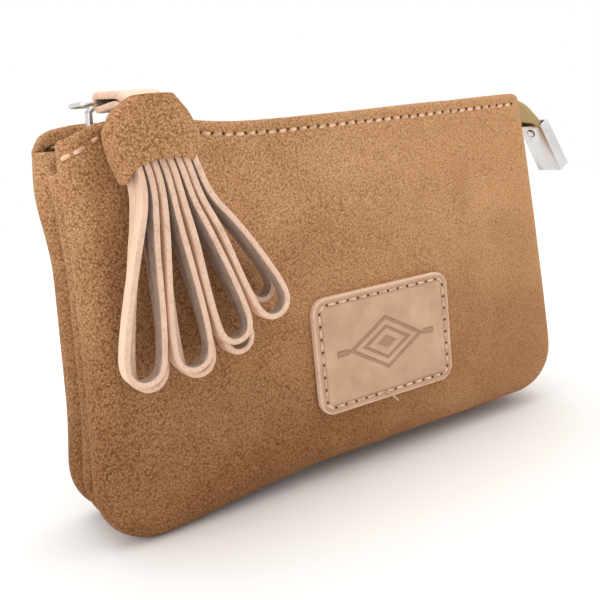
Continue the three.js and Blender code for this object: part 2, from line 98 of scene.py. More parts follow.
# the lace loops of each layer: lean in degrees, then drop and width in mm
COLLAR_FOOT = (-50.2 * MM, 80.6 * MM)
COLLAR_TILT = math.radians(20)
LACE_PITCH = 1.75 * MM
LACE_BULK = 1.5 * MM  # thickness of the solid laces
LOOPS = {
    "rear": [(-5.5, 44, 9.4), (5.5, 43.5, 9.4), (16, 42, 8.6), (28, 34, 8)],
    "front": [(-9.5, 42, 10), (2, 41, 10), (13.5, 38, 9.2), (26, 37, 9.6)],
}


# ---------- settings a user can change ----------
def linear(hex_colour):
    """A colour written as sRGB hex, as the linear values that shaders take."""
    parts = [int(hex_colour[i : i + 2], 16) / 255 for i in (0, 2, 4)]
    return tuple(c / 12.92 if c <= 0.04045 else ((c + 0.055) / 1.055) ** 2.4 for c in parts)


def length_setting(name, description, default):
    return bpy.props.FloatProperty(
        name=name, description=description, default=default, min=0, unit="LENGTH", precision=5
    )


def angle_setting(name, description, degrees):
    return bpy.props.FloatProperty(
        name=name, description=description, default=math.radians(degrees), subtype="ANGLE"
    )


def power_setting(name, description, default):
    return bpy.props.FloatProperty(name=name, description=description, default=default, min=0, unit="POWER")


def colour_setting(name, description, hex_colour):
    return bpy.props.FloatVectorProperty(
        name=name, description=description, default=linear(hex_colour),
        subtype="COLOR", size=3, min=0, max=1,
    )


class PurseSizes(bpy.types.PropertyGroup):
    """Sizes of the soft parts and the sewing."""

    suede: length_setting("Suede", "Thickness of one suede wall", 1.3 * MM)
    lining: length_setting("Lining", "Thickness of an inner wall", 1.0 * MM)
    face_swell: length_setting("Face swell", "How far the outer faces bulge", 1.6 * MM)
    slackness: length_setting("Slackness", "Depth of the soft waves in the suede", 0.45 * MM)
    rim_band: length_setting("Rim band", "Suede above the row of stitches", 3.0 * MM)
    rim_stitch_pitch: length_setting("Rim stitch pitch", "From stitch to stitch", 2.8 * MM)
    patch_stitch_pitch: length_setting("Patch stitch pitch", "From stitch to stitch", 3.1 * MM)
    patch_margin: length_setting("Patch margin", "From the patch's edge to its stitches", 1.75 * MM)
    thread: length_setting("Thread", "Thickness of the sewing thread", 0.9 * MM)
    rim_roll: length_setting("Rim roll", "Radius of the folded rim", 1.4 * MM)
    tape: length_setting("Zip tape", "Thickness of the zip tape", 0.75 * MM)
    lace_width: length_setting("Lace width", "Width of the tassel's lace", 3.7 * MM)
    lace_thickness: length_setting("Lace thickness", "Thickness of the tassel's lace", 1.35 * MM)
    strap_thickness: length_setting("Strap thickness", "One layer of the tassel strap", 1.6 * MM)
    metal_edge: length_setting("Metal edge", "Rounding on the metal edges", 0.22 * MM)


class PurseColours(bpy.types.PropertyGroup):
    """Colours of the finishes."""

    suede_deep: colour_setting("Suede, deep", "Between the fibres", "845733")
    suede_mid: colour_setting("Suede", "Most of the nap", "BA8B60")
    suede_light: colour_setting("Suede, light", "Tips of the fibres", "DDB58F")
    lining: colour_setting("Lining", "Inner walls", "6A4426")
    tape: colour_setting("Zip tape", "Woven polyester", "A88B55")
    grain: colour_setting("Leather grain", "Smooth side of the nude leather", "EBC9AE")
    flesh: colour_setting("Leather flesh", "Fibrous side and cut edges", "C4A590")
    thread: colour_setting("Thread", "Sewing thread", "DDB594")
    nickel: colour_setting("Nickel", "Slider, ring and clip", "D9D7D6")
    floor: colour_setting("Floor", "Pale floor", "F4F3F1")


class PurseStage(bpy.types.PropertyGroup):
    """Camera and light."""

    camera_place: bpy.props.FloatVectorProperty(
        name="Camera place", description="Where the camera stands",
        default=(-127.04 * MM, -178.16 * MM, 89.18 * MM), subtype="TRANSLATION", unit="LENGTH",
    )
    camera_turn: angle_setting("Turn", "From looking along +Y towards +X", 32.57)
    camera_dip: angle_setting("Dip", "Below the horizon", 11.64)
    camera_roll: angle_setting("Roll", "About the line of sight", -5.79)
    focal_length: bpy.props.FloatProperty(
        name="Focal length", description="In millimetres, on a 36 mm sensor", default=53.04, min=1
    )
    left_power: power_setting("Left light", "Soft light from the left", 1.6)
    right_power: power_setting("Right light", "Soft light from the right", 1.0)
    top_power: power_setting("Top light", "Soft light from above", 2.5)


# ---------- helpers ----------
def smooth(t):
    t = min(max(t, 0.0), 1.0)
    return t * t * (3 - 2 * t)


def mix(a, b, t):
    return a + (b - a) * t


def select_only(*objects):
    bpy.ops.object.select_all(action="DESELECT")
    for obj in objects:
        obj.select_set(True)
    bpy.context.view_layer.objects.active = objects[0]


def apply_modifier(piece, kind, **settings):
    """Adds a modifier to the piece and applies it."""
    select_only(piece)
    modifier = piece.modifiers.new(kind.title(), kind)
    for name, value in settings.items():
        setattr(modifier, name, value)
    bpy.ops.object.modifier_apply(modifier=modifier.name)


def smooth_shading(piece, degrees=40):
    select_only(piece)
    bpy.ops.object.shade_smooth_by_angle(angle=math.radians(degrees))


def mesh_piece(name, points, faces, uvs=None):
    """A new piece from points and faces. uvs gives one pair per point, in metres."""
    mesh = bpy.data.meshes.new(name)
    mesh.from_pydata([tuple(p) for p in points], [], faces)
    if uvs:
        layer = mesh.uv_layers.new(name="surface")
        for loop in mesh.loops:
            layer.data[loop.index].uv = uvs[loop.vertex_index]
    mesh.validate()
    piece = bpy.data.objects.new(name, mesh)
    bpy.context.scene.collection.objects.link(piece)
    return piece


def grid_piece(name, rows, closed=False):
    """A sheet through rows of points, its UV map measured along and across it."""
    count = len(rows[0])
    points, uvs = [], []
    along = 0.0
    for j, row in enumerate(rows):
        if j:
            along += (row[count // 2] - rows[j - 1][count // 2]).length
        across = 0.0
        for i, point in enumerate(row):
            if i:
                across += (point - row[i - 1]).length
            points.append(point)
            uvs.append((along, across))
    faces = []
    for j in range(len(rows) - 1):
        for i in range(count if closed else count - 1):
            a, b = j * count + i, j * count + (i + 1) % count
            faces.append((a, b, b + count, a + count))
    return mesh_piece(name, points, faces, uvs)


@contextlib.contextmanager
def editing(piece):
    """Edit mode on one piece, with all of it selected."""
    select_only(piece)
    bpy.ops.object.mode_set(mode="EDIT")
    bpy.ops.mesh.select_all(action="SELECT")
    yield
    bpy.ops.object.mode_set(mode="OBJECT")


def select_where(piece, kind, test):
    """In edit mode, selects only the edges or faces that pass the test."""
    bpy.ops.mesh.select_all(action="DESELECT")
    mesh = bmesh.from_edit_mesh(piece.data)
    for element in getattr(mesh, kind):
        element.select_set(test(element))
    bmesh.update_edit_mesh(piece.data)


def turn_outwards(piece):
    """Merges doubles and points every face out."""
    with editing(piece):
        bpy.ops.mesh.remove_doubles(threshold=MERGE_WITHIN)
        bpy.ops.mesh.normals_make_consistent(inside=False)


def thicken(piece, thickness, offset, levels=1):
    """Gives a sheet its thickness and rounds it."""
    apply_modifier(piece, "SOLIDIFY", thickness=thickness, offset=offset)
    apply_modifier(piece, "SUBSURF", levels=levels, render_levels=levels)


def add_unit_cube(name, size, place=(0, 0, 0)):
    bpy.ops.mesh.primitive_cube_add(size=1, location=place)
    piece = bpy.context.object
    piece.name = name
    bpy.ops.transform.resize(value=tuple(size))
    bpy.ops.object.transform_apply(location=True, rotation=True, scale=True)
    return piece


def add_rod(name, radius, length, sides, cuts, place=(0, 0, 0)):
    """A round rod along X, cut across at shares of its length."""
    bpy.ops.mesh.primitive_cylinder_add(
        vertices=sides, radius=radius, depth=length, location=place, rotation=(0, math.pi / 2, 0)
    )
    piece = bpy.context.object
    piece.name = name
    bpy.ops.object.transform_apply(location=True, rotation=True, scale=True)
    with editing(piece):
        for share in cuts:
            bpy.ops.mesh.select_all(action="SELECT")
            bpy.ops.mesh.bisect(plane_co=(place[0] + (share - 0.5) * length, 0, 0), plane_no=(1, 0, 0))
    smooth_shading(piece, 60)
    return piece


def copies_of(original, places, name):
    """One piece made of a copy of the original at each place. The original is used up."""
    made = []
    for place in places:
        copy = bpy.data.objects.new(name, original.data.copy())
        copy.data.transform(place)
        bpy.context.scene.collection.objects.link(copy)
        made.append(copy)
    select_only(*made)
    bpy.ops.object.join()
    bpy.data.objects.remove(original)
    made[0].name = name
    return made[0]


def copy_of_node(node, name):
    """A merged copy of a CAD node, ready to be finished by modifiers."""
    piece = bpy.data.objects.new(name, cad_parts[node].data.copy())
    bpy.context.scene.collection.objects.link(piece)
    piece.data.materials.clear()
    with editing(piece):
        bpy.ops.mesh.remove_doubles(threshold=MERGE_WITHIN)
        bpy.ops.mesh.dissolve_limited(angle_limit=math.radians(1.5))
    return piece


def metal_of_node(node, name, rounding, degrees, body=None, shift=(0, 0, 0)):
    """Rounds the edges of a copy of a CAD node and plates it."""
    piece = copy_of_node(node, name)
    piece.data.transform(Matrix.Translation(shift))
    apply_modifier(piece, "BEVEL", width=rounding, segments=3, limit_method="ANGLE")
    smooth_shading(piece, degrees)
    return settle(piece, plated_nickel(), body, [node])


def settle(piece, material, body=None, replaces=()):
    """Gives a finished piece its material, when it has none, and its body, and hides the nodes that it stands
    for.
    """
    if not piece.data.materials:
        piece.data.materials.append(material)
    if replaces:
        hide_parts(*replaces)
    if body:
        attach(piece, body)
    return piece


def sew_to(piece, body):
    """Fixes a piece to a pouch.

    The purse opens at its slider end and stays shut at the other. A piece sewn to the front pouch is attached
    to its body, and one sewn to a pouch behind has its place baked into its mesh.
    """
    if body == "front_pouch":
        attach(piece, "front_pouch")
    else:
        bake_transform(piece)


# ---------- materials ----------
def add_node(tree, kind, inputs=None, **settings):
    """Adds a shader node with its settings, and sets or links its inputs."""
    node = tree.nodes.new("ShaderNode" + kind)
    for name, value in settings.items():
        setattr(node, name, value)
    for name, value in (inputs or {}).items():
        if isinstance(value, bpy.types.NodeSocket):
            tree.links.new(value, node.inputs[name])
        else:
            node.inputs[name].default_value = value
    return node


def shade(colour, factor):
    return tuple(min(c * factor, 1) for c in colour)


class Finish:
    """A material being wired up. Each method adds a node, and gives the socket it ends in or links it up."""

    def __init__(self, tree, coordinates):
        self.tree = tree
        self.shader = tree.nodes["Principled BSDF"].inputs
        self.place = add_node(tree, "TexCoord").outputs[coordinates]

    def noise(self, scale, detail=2.0, roughness=0.5, distortion=0.0, vector=None):
        return add_node(self.tree, "TexNoise", {
            "Vector": self.place if vector is None else vector, "Scale": scale,
            "Detail": detail, "Roughness": roughness, "Distortion": distortion,
        }).outputs["Fac"]

    def cells(self, scale):
        return add_node(self.tree, "TexVoronoi", {"Vector": self.place, "Scale": scale}).outputs["Distance"]

    def ribs(self, scale, distortion, detail_scale=1.0):
        return add_node(self.tree, "TexWave", {
            "Vector": self.place, "Scale": scale, "Distortion": distortion, "Detail": 2.0,
            "Detail Scale": detail_scale,
        }, bands_direction="DIAGONAL").outputs["Fac"]

    def math(self, operation, *inputs):
        return add_node(self.tree, "Math", dict(enumerate(inputs)), operation=operation).outputs["Value"]

    def vector(self, operation, *inputs):
        node = add_node(self.tree, "VectorMath", dict(enumerate(inputs)), operation=operation)
        return node.outputs["Vector"]

    def mix(self, factor, a, b, **settings):
        return add_node(self.tree, "Mix", {"Factor": factor, "A": a, "B": b}, **settings).outputs["Result"]

    def spread(self, value, low, high, to_low, to_high, **settings):
        """Maps low to high on to to_low to to_high."""
        return add_node(self.tree, "MapRange", {
            "Value": value, "From Min": low, "From Max": high, "To Min": to_low, "To Max": to_high,
        }, **settings).outputs["Result"]

    def axes(self, vector):
        return add_node(self.tree, "SeparateXYZ", {"Vector": vector}).outputs

    def ramp(self, factor, *stops):
        """A colour ramp through (place, colour) stops."""
        node = add_node(self.tree, "ValToRGB", {"Fac": factor})
        elements = node.color_ramp.elements
        while len(elements) < len(stops):
            elements.new(0.5)
        for element, (place, colour) in zip(elements, stops):
            element.position = place
            element.color = (*colour[:3], 1)
        return node.outputs["Color"]

    def link(self, socket, value):
        self.tree.links.new(value, self.shader[socket])

    def tint(self, factor, colour, *stops):
        """Colours the surface in shades of one colour, by (place, factor) stops."""
        self.link("Base Color", self.ramp(factor, *((place, shade(colour, f)) for place, f in stops)))

    def bump(self, height, strength, distance):
        node = add_node(self.tree, "Bump", {"Height": height, "Strength": strength, "Distance": distance})
        self.link("Normal", node.outputs["Normal"])


def recipe(name, coordinates="Object", **values):
    """Turns a function that wires a material up into one that gives the material, made once under its name.

    The values are set on the shader as they are, under their sockets' names written with underscores.
    """

    def wrap(wire):
        def material(own_name=name, *extra):
            found = bpy.data.materials.get(own_name)
            if not found:
                found = bpy.data.materials.new(own_name)
                found.use_nodes = True
                finish = Finish(found.node_tree, coordinates)
                for socket, value in values.items():
                    finish.shader[socket.replace("_", " ")].default_value = value
                wire(finish, bpy.context.scene.purse_colours, *extra)
            return found

        return material

    return wrap


@recipe("split_suede", Roughness=0.95, Specular_IOR_Level=0.15, Sheen_Weight=0.15, Sheen_Roughness=0.45)
def split_suede(f, colours, shadow=1.0):
    """Split suede, sanded and dyed: a short matt nap in clumps under a millimetre wide, with a soft sheen."""
    strokes = f.noise(45, 3.0, distortion=0.5)
    tips = f.spread(f.cells(1900), 0.0, 0.85, 0.74, 0.26)
    grain = f.mix(0.45, f.mix(0.3, f.noise(2300, 2.0, 0.55), f.noise(4200, 1.0)), tips)
    x, _, z = f.axes(f.place)
    # towards the tail the nap lies flatter and shows less
    seen = f.mix(f.spread(x, -70 * MM, 60 * MM, 0.0, 0.5), f.mix(0.14, grain, strokes), 0.51)
    nap = f.ramp(
        seen, (0.38, shade(colours.suede_deep, shadow)), (0.50, shade(colours.suede_mid, shadow)),
        (0.63, shade(colours.suede_light, shadow)),
    )
    # painted shade: darker and richer low down and towards the slider's end, lighter high up and towards the
    # tail, with the nap's own broad random patches mixed in
    higher, further = f.spread(z, 6 * MM, 76 * MM, 0.0, 0.68), f.spread(x, -40 * MM, 60 * MM, 0.0, 0.32)
    light_and_nap = f.math("MULTIPLY_ADD", strokes, 0.3, f.math("ADD", higher, further))
    # B8A99C is the deepest painted shade; white leaves the nap's colour unshaded
    painted_shade_and_nap = f.ramp(light_and_nap, (0.15, linear("B8A99C")), (1.0, linear("FFFFFF")))
    f.link("Base Color", f.vector("MULTIPLY", nap, painted_shade_and_nap))
    f.bump(grain, 0.8, 0.4 * MM)
    f.shader["Sheen Tint"].default_value = (*colours.suede_light, 1)


@recipe("polyester_twill_lining", Roughness=0.7, Sheen_Weight=0.15)
def twill_lining(f, colours):
    """Polyester twill, woven: fine diagonal ribs about 0.8 mm apart and a faint satin sheen."""
    ribs = f.ribs(200, 1.2, 1.5)
    f.tint(f.mix(0.4, ribs, f.noise(90, 4.0)), colours.lining, (0.2, 0.55), (0.75, 1), (1.0, 1.25))
    f.bump(ribs, 0.4, 0.15 * MM)


@recipe("herringbone_zip_tape", "UV", Roughness=0.62, Sheen_Weight=0.2)
def woven_tape(f, colours):
    """Polyester zip tape, woven in a herringbone: ribs 0.7 mm apart that turn every 2 mm, slightly glossy."""
    along, across, _ = f.axes(f.place)
    slant = f.math("ADD", along, f.math("PINGPONG", across, 2 * MM))
    ribs = f.math("SINE", f.math("MULTIPLY", slant, 2 * math.pi / (0.7 * MM)))
    level = f.spread(ribs, -1.0, 1.0, 0.25, 0.75)
    f.tint(f.mix(0.35, level, f.noise(160, 4.0)), colours.tape, (0.25, 0.62), (0.55, 1), (0.8, 1.3))
    f.bump(level, 0.5, 0.12 * MM)


@recipe("veg_tan_leather_grain", Specular_IOR_Level=0.35, Subsurface_Weight=0.06, Subsurface_Scale=1 * MM)
def leather_grain(f, colours):
    """Vegetable-tanned leather, undyed, smooth side: soft blotches, fine pores, a low satin gloss."""
    blotches = f.noise(110, 4.0, 0.6)
    f.tint(blotches, colours.grain, (0.3, 0.86), (0.55, 1), (0.75, 1.07))
    f.link("Roughness", f.spread(blotches, 0.0, 1.0, 0.42, 0.6))
    f.bump(f.cells(1700), 0.3, 0.08 * MM)


@recipe("veg_tan_leather_flesh", Roughness=0.92, Specular_IOR_Level=0.2, Sheen_Weight=0.25)
def leather_flesh(f, colours):
    """The same leather's flesh side: matt, pinkish grey, with raised fibres 0.3 to 1 mm long."""
    fuzz = f.mix(0.4, f.noise(1500, 4.0, 0.7, 1.2), f.noise(420, 3.0))
    f.tint(fuzz, colours.flesh, (0.32, 0.5), (0.5, 0.78), (0.68, 1.1))
    f.bump(fuzz, 0.8, 0.4 * MM)


@recipe("veg_tan_leather_cut_edge", Roughness=0.95, Specular_IOR_Level=0.15)
def leather_cut_edge(f, colours):
    """The same leather, cut through: paler than the flesh side, with a nap of loose fibre ends."""
    fuzz = f.mix(0.3, f.noise(1900, 3.0, 0.7), f.noise(320, 3.0))
    f.link("Base Color", f.ramp(
        fuzz, (0.33, colours.flesh), (0.48, shade(colours.flesh, 1.35)), (0.66, colours.grain)
    ))
    f.bump(fuzz, 0.9, 0.35 * MM)


@recipe("veg_tan_leather_stamped", Roughness=0.5, Specular_IOR_Level=0.35)
def stamped_patch_leather(f, colours):
    """The patch's smooth face: the same leather, pressed in along the stitches and by a plain stamp."""
    centre = (PATCH_LOW + PATCH_HIGH) / 2
    x, _, z = f.axes(f.vector("ABSOLUTE", f.vector("ADD", f.place, tuple(-centre))))

    def line(distance, half_width):
        """1 on the line where distance is 0, falling to 0 at half_width."""
        away = f.math("ABSOLUTE", distance)
        return f.spread(away, half_width * 0.35, half_width, 1.0, 0.0, interpolation_type="SMOOTHSTEP")

    # a long lozenge in outline with a smaller one inside, and a short bar at each side
    lozenge = f.math("ADD", f.math("DIVIDE", x, 11 * MM), f.math("DIVIDE", z, 6.4 * MM))
    outer = line(f.math("SUBTRACT", lozenge, 1.0), 0.1)
    inner = line(f.math("SUBTRACT", lozenge, 0.62), 0.085)
    core = f.math("SUBTRACT", 1.0, f.math("MULTIPLY", f.math("SUBTRACT", lozenge, 0.2), 9.0))
    core = f.math("MINIMUM", f.math("MAXIMUM", core, 0.0), 1.0)
    bar_x = f.math("SUBTRACT", f.math("ABSOLUTE", f.math("SUBTRACT", x, 13.6 * MM)), 1.5 * MM)
    bar_z = f.math("SUBTRACT", z, 0.45 * MM)
    bar = line(f.math("MAXIMUM", f.math("MAXIMUM", bar_x, bar_z), 0.0), 0.35 * MM)
    stamp = f.math("MAXIMUM", f.math("MAXIMUM", outer, inner), f.math("MAXIMUM", core, bar))
    # the stitches pull a shallow channel into the leather, just inside the edge
    half_x, half_z = patch_seam()
    edge = f.math("MAXIMUM", f.math("SUBTRACT", x, half_x), f.math("SUBTRACT", z, half_z))
    pressed = f.math("MAXIMUM", stamp, f.math("MULTIPLY", line(edge, 0.9 * MM), 0.5))

    # the face's tone: the leather's own, a little pinker and tanner than the laces', darkened by painted
    # shade
    shaded_leather_tone = f.ramp(
        f.noise(120, 4.0, 0.6), (0.3, linear("B38E72")), (0.55, linear("C29C7F")), (0.75, linear("CEA98D"))
    )
    dark = f.spread(pressed, 0.0, 1.0, 0.0, 0.55)
    f.link("Base Color", f.mix(dark, shaded_leather_tone, (*linear("8A5F45"), 1), data_type="RGBA"))
    height = f.math("ADD", f.math("MULTIPLY", pressed, -1.0), f.math("MULTIPLY", f.cells(1700), 0.08))
    f.bump(height, 0.9, 0.45 * MM)


@recipe("bonded_polyester_thread", Roughness=0.55, Sheen_Weight=0.2)
def sewing_thread(f, colours):
    """Bonded polyester thread, three-ply: twist marks 0.9 mm apart and a slight gloss."""
    plies = f.ribs(180, 0.8)
    f.tint(plies, colours.thread, (0.1, 0.68), (0.6, 1), (1.0, 1.12))
    f.bump(plies, 0.6, 0.12 * MM)


@recipe("needle_hole_leather", Roughness=1.0, Specular_IOR_Level=0.0)
def needle_hole_shade(f, colours):
    """The inside of a needle hole: leather in shadow."""
    f.link("Base Color", f.ramp(f.noise(2400), (0.3, linear("4A2E1E")), (0.7, linear("6E4A32"))))


@recipe("nickel_plated_zinc", Metallic=1.0)
def plated_nickel(f, colours):
    """Zinc die-cast, polished and nickel plated: bright, with hairline scuffs that soften the reflections."""
    stretched = add_node(f.tree, "Mapping", {"Vector": f.place, "Scale": (1.0, 1.0, 7.0)})
    scuffs = f.noise(900, 4.0, vector=stretched.outputs["Vector"])
    f.tint(f.noise(160, 3.0), colours.nickel, (0.3, 0.86), (0.7, 1))
    f.link("Roughness", f.spread(scuffs, 0.0, 1.0, 0.2, 0.42))
    f.bump(scuffs, 0.08, 0.05 * MM)


@recipe("matt_white_board", Roughness=0.6, Specular_IOR_Level=0.2)
def matt_floor(f, colours):
    """Painted board, matt white, with the faintest mottle."""
    f.tint(f.noise(6), colours.floor, (0.3, 0.985), (0.7, 1))


# ---------- the shape of a pouch ----------
def rim_at(x):
    """Height of the front and rear rims, pushed up beside the parked slider."""
    hump = RIM_HUMP * math.exp(-(((x - RIM_HUMP_X) / RIM_HUMP_WIDTH) ** 2))
    left = smooth((x + HALF_LENGTH - 3 * MM) / (9 * MM))
    right = smooth((HALF_LENGTH - RIGHT_LEAN - x) / (4 * MM))
    rise = 0.3 * MM * smooth((x - 15 * MM) / (40 * MM))
    return RIM_HEIGHT + hump + rise - RIM_END_DROP * (1 - left) - 0.5 * RIM_END_DROP * (1 - right)


def middle_rim_at(x):
    return MIDDLE_RIM + MIDDLE_EAR_RISE * smooth((TAPE_LEFT + 1 * MM - x) / (4 * MM))


class Pouch(NamedTuple):
    name: str
    panel: str
    wall: str
    body: str
    centre_y: float
    half: float  # half its depth
    sink: float
    swell: float
    facing: int  # 1 when its face looks along -Y
    behind: bool  # the middle and rear pouches
    top: float
    wall_top: float
    rim: object
    seed: float  # sets where its suede is slack


def pouches():
    swell = bpy.context.scene.purse_sizes.face_swell
    made = []
    for name, rim, bulge, facing in (
        ("front", rim_at, swell, 1), ("middle", middle_rim_at, 0.0, 1), ("rear", rim_at, swell, -1),
    ):
        panel, wall = f"{name}_panel", f"{name}_pouch_inner_wall"
        low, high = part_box(panel)
        half = (high.y - low.y - bulge) / 2
        centre = high.y - half if facing == 1 else low.y + half
        top = MIDDLE_RIM if name == "middle" else RIM_HEIGHT
        made.append(Pouch(
            name, panel, wall, f"{name}_pouch", centre, half, FRONT_SINK if name == "front" else 0.0,
            bulge, facing, name != "front", top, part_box(wall)[1].z, rim, 7.3 * len(made),
        ))
    return made


def sides_at(pouch, z, inset=0.0):
    """Left and right sides of a pouch's flat heart at a height. The left is taken in below the rim."""
    most = 3.2 * MM if pouch.behind else 1.3 * MM
    taken_in = most * smooth((86 * MM - z) / (28 * MM)) * (1 - 0.55 * smooth((30 * MM - z) / (26 * MM)))
    return (
        -HALF_LENGTH + pouch.half + inset + taken_in + LEFT_LEAN * z / RIM_HEIGHT,
        HALF_LENGTH - pouch.half - inset - RIGHT_LEAN * max(z / RIM_HEIGHT, 0) ** 1.5,
    )


def lift_at(pouch, x, z):
    """The front pouch stands on its slider end, and clears the ground by a few millimetres beyond."""
    if pouch.behind:
        return 0.0
    return 4.2 * MM * smooth((x + 64 * MM) / (56 * MM)) * (1 - smooth(z / (42 * MM)))


def heart_rows(pouch, top, inset=0.0, upper_rows=32):
    """The flat heart of a pouch inside its rounded edges: rows of (left, right, height)."""
    low = pouch.half - pouch.sink + inset
    corner = CORNER_RADIUS - pouch.half - inset
    rows = []
    for k in range(CORNER_ROWS + 1):
        a = math.pi / 2 * k / CORNER_ROWS
        z = low + corner * (1 - math.cos(a))
        left, right = sides_at(pouch, z, inset)
        rows.append((left + corner * (1 - math.sin(a)), right - corner * (1 - math.sin(a)), z))
    for k in range(1, upper_rows + 1):
        share = 1 - (1 - k / upper_rows) ** 1.35  # closer together towards the rim
        z = low + corner + (top - low - corner) * share
        rows.append((*sides_at(pouch, z, inset), z))
    return rows


def swell_at(pouch, u, z):
    """How far the face stands out, at share u of its width and height z."""
    low = pouch.half - pouch.sink
    w = min(max((z - low) / (pouch.top - low), 0.0), 1.0) ** 0.75
    return pouch.swell * smooth(4 * u * (1 - u)) * smooth(4 * w * (1 - w))


def slack_at(x, z, seed):
    """Soft waves of handled suede, from -1 to 1."""
    broad = noise.noise(Vector((x * 26, z * 34, seed)))
    small = noise.noise(Vector((x * 80, z * 70, seed + 9)))
    return broad * 1.3 + small * 0.35


def stand_out(pouch, x, z, u):
    """How far the face stands out from the heart's plane, by its swell, its slack and its seam's groove."""
    sizes = bpy.context.scene.purse_sizes
    drop = pouch.rim(x) - z
    calm = smooth(min(u, 1 - u) * 9) * smooth(z / (14 * MM)) * smooth((drop - 4 * MM) / (14 * MM))
    slack = sizes.slackness * slack_at(x, z, pouch.seed) * calm
    out = swell_at(pouch, u, z) + slack * (1 if pouch.swell else 0.3)
    if pouch.swell:
        out -= 0.55 * MM * math.exp(-(((drop - sizes.rim_band) / (0.7 * MM)) ** 2))
        out += 0.25 * MM * math.exp(-(((drop - sizes.rim_band - 2.2 * MM) / (1.1 * MM)) ** 2))
    return out


def face_point(pouch, x, z, out=0.0):
    """The point of a pouch's face at x and z, lifted off it by out."""
    left, right = sides_at(pouch, z)
    u = min(max((x - left) / (right - left), 0.0), 1.0)
    y = pouch.centre_y - pouch.facing * (pouch.half + stand_out(pouch, x, z, u) + out)
    return Vector((x, y, z))


def pouch_skin(pouch, name):
    """The outer surface of a pouch: its face, its rolled rim, and the edges that turn round to the back."""
    sizes = bpy.context.scene.purse_sizes
    roll = sizes.rim_roll if pouch.swell else 0.0
    rows = heart_rows(pouch, pouch.top)
    start = rows[CORNER_ROWS][2]
    points = []

    def add(x, y, z):
        points.append(Vector((x, pouch.centre_y + pouch.facing * y, max(z, 0.0))))
        return len(points) - 1

    places = []
    for j, (left, right, z) in enumerate(rows):
        row = []
        for i in range(COLUMNS + 1):
            x = mix(left, right, i / COLUMNS)
            share = max((z - start) / (pouch.top - start), 0.0)
            height = z if j <= CORNER_ROWS else mix(start, pouch.rim(x) - roll, share)
            row.append((x, height + lift_at(pouch, x, height)))
        places.append(row)
    face = []
    for row in places:
        face.append([
            add(x, -pouch.half - stand_out(pouch, x, z, i / COLUMNS), z) for i, (x, z) in enumerate(row)
        ])
    top = len(rows) - 1
    path = [(j, 0) for j in range(top, 0, -1)] + [(0, i) for i in range(COLUMNS + 1)]
    path += [(j, COLUMNS) for j in range(1, top + 1)]
    faces = []
    for j in range(top):
        for i in range(COLUMNS):
            faces.append((face[j][i], face[j][i + 1], face[j + 1][i + 1], face[j + 1][i]))
    edge = []
    for k, (j, i) in enumerate(path):
        before = path[max(k - 1, 0)]
        after = path[min(k + 1, len(path) - 1)]
        ax, az = places[before[0]][before[1]]
        bx, bz = places[after[0]][after[1]]
        out = Vector((bz - az, 0, ax - bx)).normalized()
        x, z = places[j][i]
        near_rim = smooth((z - pouch.top + 16 * MM) / (16 * MM))
        ring = [face[j][i]]
        tight = 1 + 0.035 * noise.noise(Vector((x * 60, z * 60, pouch.seed + 3)))
        drop = 1.3 * MM
        if pouch.behind and x < 0:  # the two pouches behind are pulled in beside the tassel
            tight -= 0.22 * near_rim
            drop = 2.7 * MM
        for m in range(1, EDGE_STEPS + 1):
            a = -math.pi / 2 + math.pi * m / EDGE_STEPS
            reach = pouch.half * math.cos(a) * tight
            fall = drop * near_rim * smooth(m / (EDGE_STEPS * 0.35))
            flat = 1 - 0.1 * math.cos(a) ** 2  # a groove shows between one pouch's edge and the next
            ring.append(add(x + out.x * reach, pouch.half * math.sin(a) * flat, z + out.z * reach - fall))
        edge.append(ring)
    for k in range(len(edge) - 1):
        for m in range(EDGE_STEPS):
            faces.append((edge[k][m], edge[k][m + 1], edge[k + 1][m + 1], edge[k + 1][m]))
    if roll:
        # the suede folds over the rim, round both ends as far as the middle of the edges
        bend = EDGE_STEPS // 2
        line = [(edge[0][m], m) for m in range(bend, 0, -1)]
        line += [(corner, 0) for corner in face[top]]
        line += [(edge[-1][m], m) for m in range(1, bend + 1)]
        rolled = [[corner for corner, m in line]]
        for k in range(1, 10):
            turn = math.pi * min(k / 7, 1)
            down = max(k - 7, 0) * 1.1 * MM
            row = []
            for i, (corner, m) in enumerate(line):
                a = math.pi * m / EDGE_STEPS
                side = 1 if i < len(line) / 2 else -1
                inward = Vector((side * math.sin(a), math.cos(a)))
                size = roll * (1 - 0.6 * smooth(m / bend))
                p = points[corner]
                row.append(add(
                    p.x + inward.x * size * (1 - math.cos(turn)),
                    (p.y - pouch.centre_y) * pouch.facing + inward.y * size * (1 - math.cos(turn)),
                    p.z + size * math.sin(turn) - down,
                ))
            rolled.append(row)
        for j in range(len(rolled) - 1):
            for i in range(len(line) - 1):
                faces.append((rolled[j][i], rolled[j][i + 1], rolled[j + 1][i + 1], rolled[j + 1][i]))
    if pouch.facing < 0:
        faces = [tuple(reversed(f)) for f in faces]
    return mesh_piece(name, points, faces)


def sheet_of_pouch(piece, pouch, material, node):
    smooth_shading(piece, 60)
    settle(piece, material, replaces=[node])
    sew_to(piece, pouch.body)


class PURSE_OT_suede_panels(bpy.types.Operator):
    """Makes the three suede panels, each with its sides and bottom turned round to the back"""

    bl_idname = "purse.suede_panels"
    bl_label = "Suede panels"

    def execute(self, context):
        for pouch in pouches():
            piece = pouch_skin(pouch, f"{pouch.name}_suede")
            thicken(piece, context.scene.purse_sizes.suede, -1)
            sheet_of_pouch(piece, pouch, split_suede(), pouch.panel)
        return {"FINISHED"}


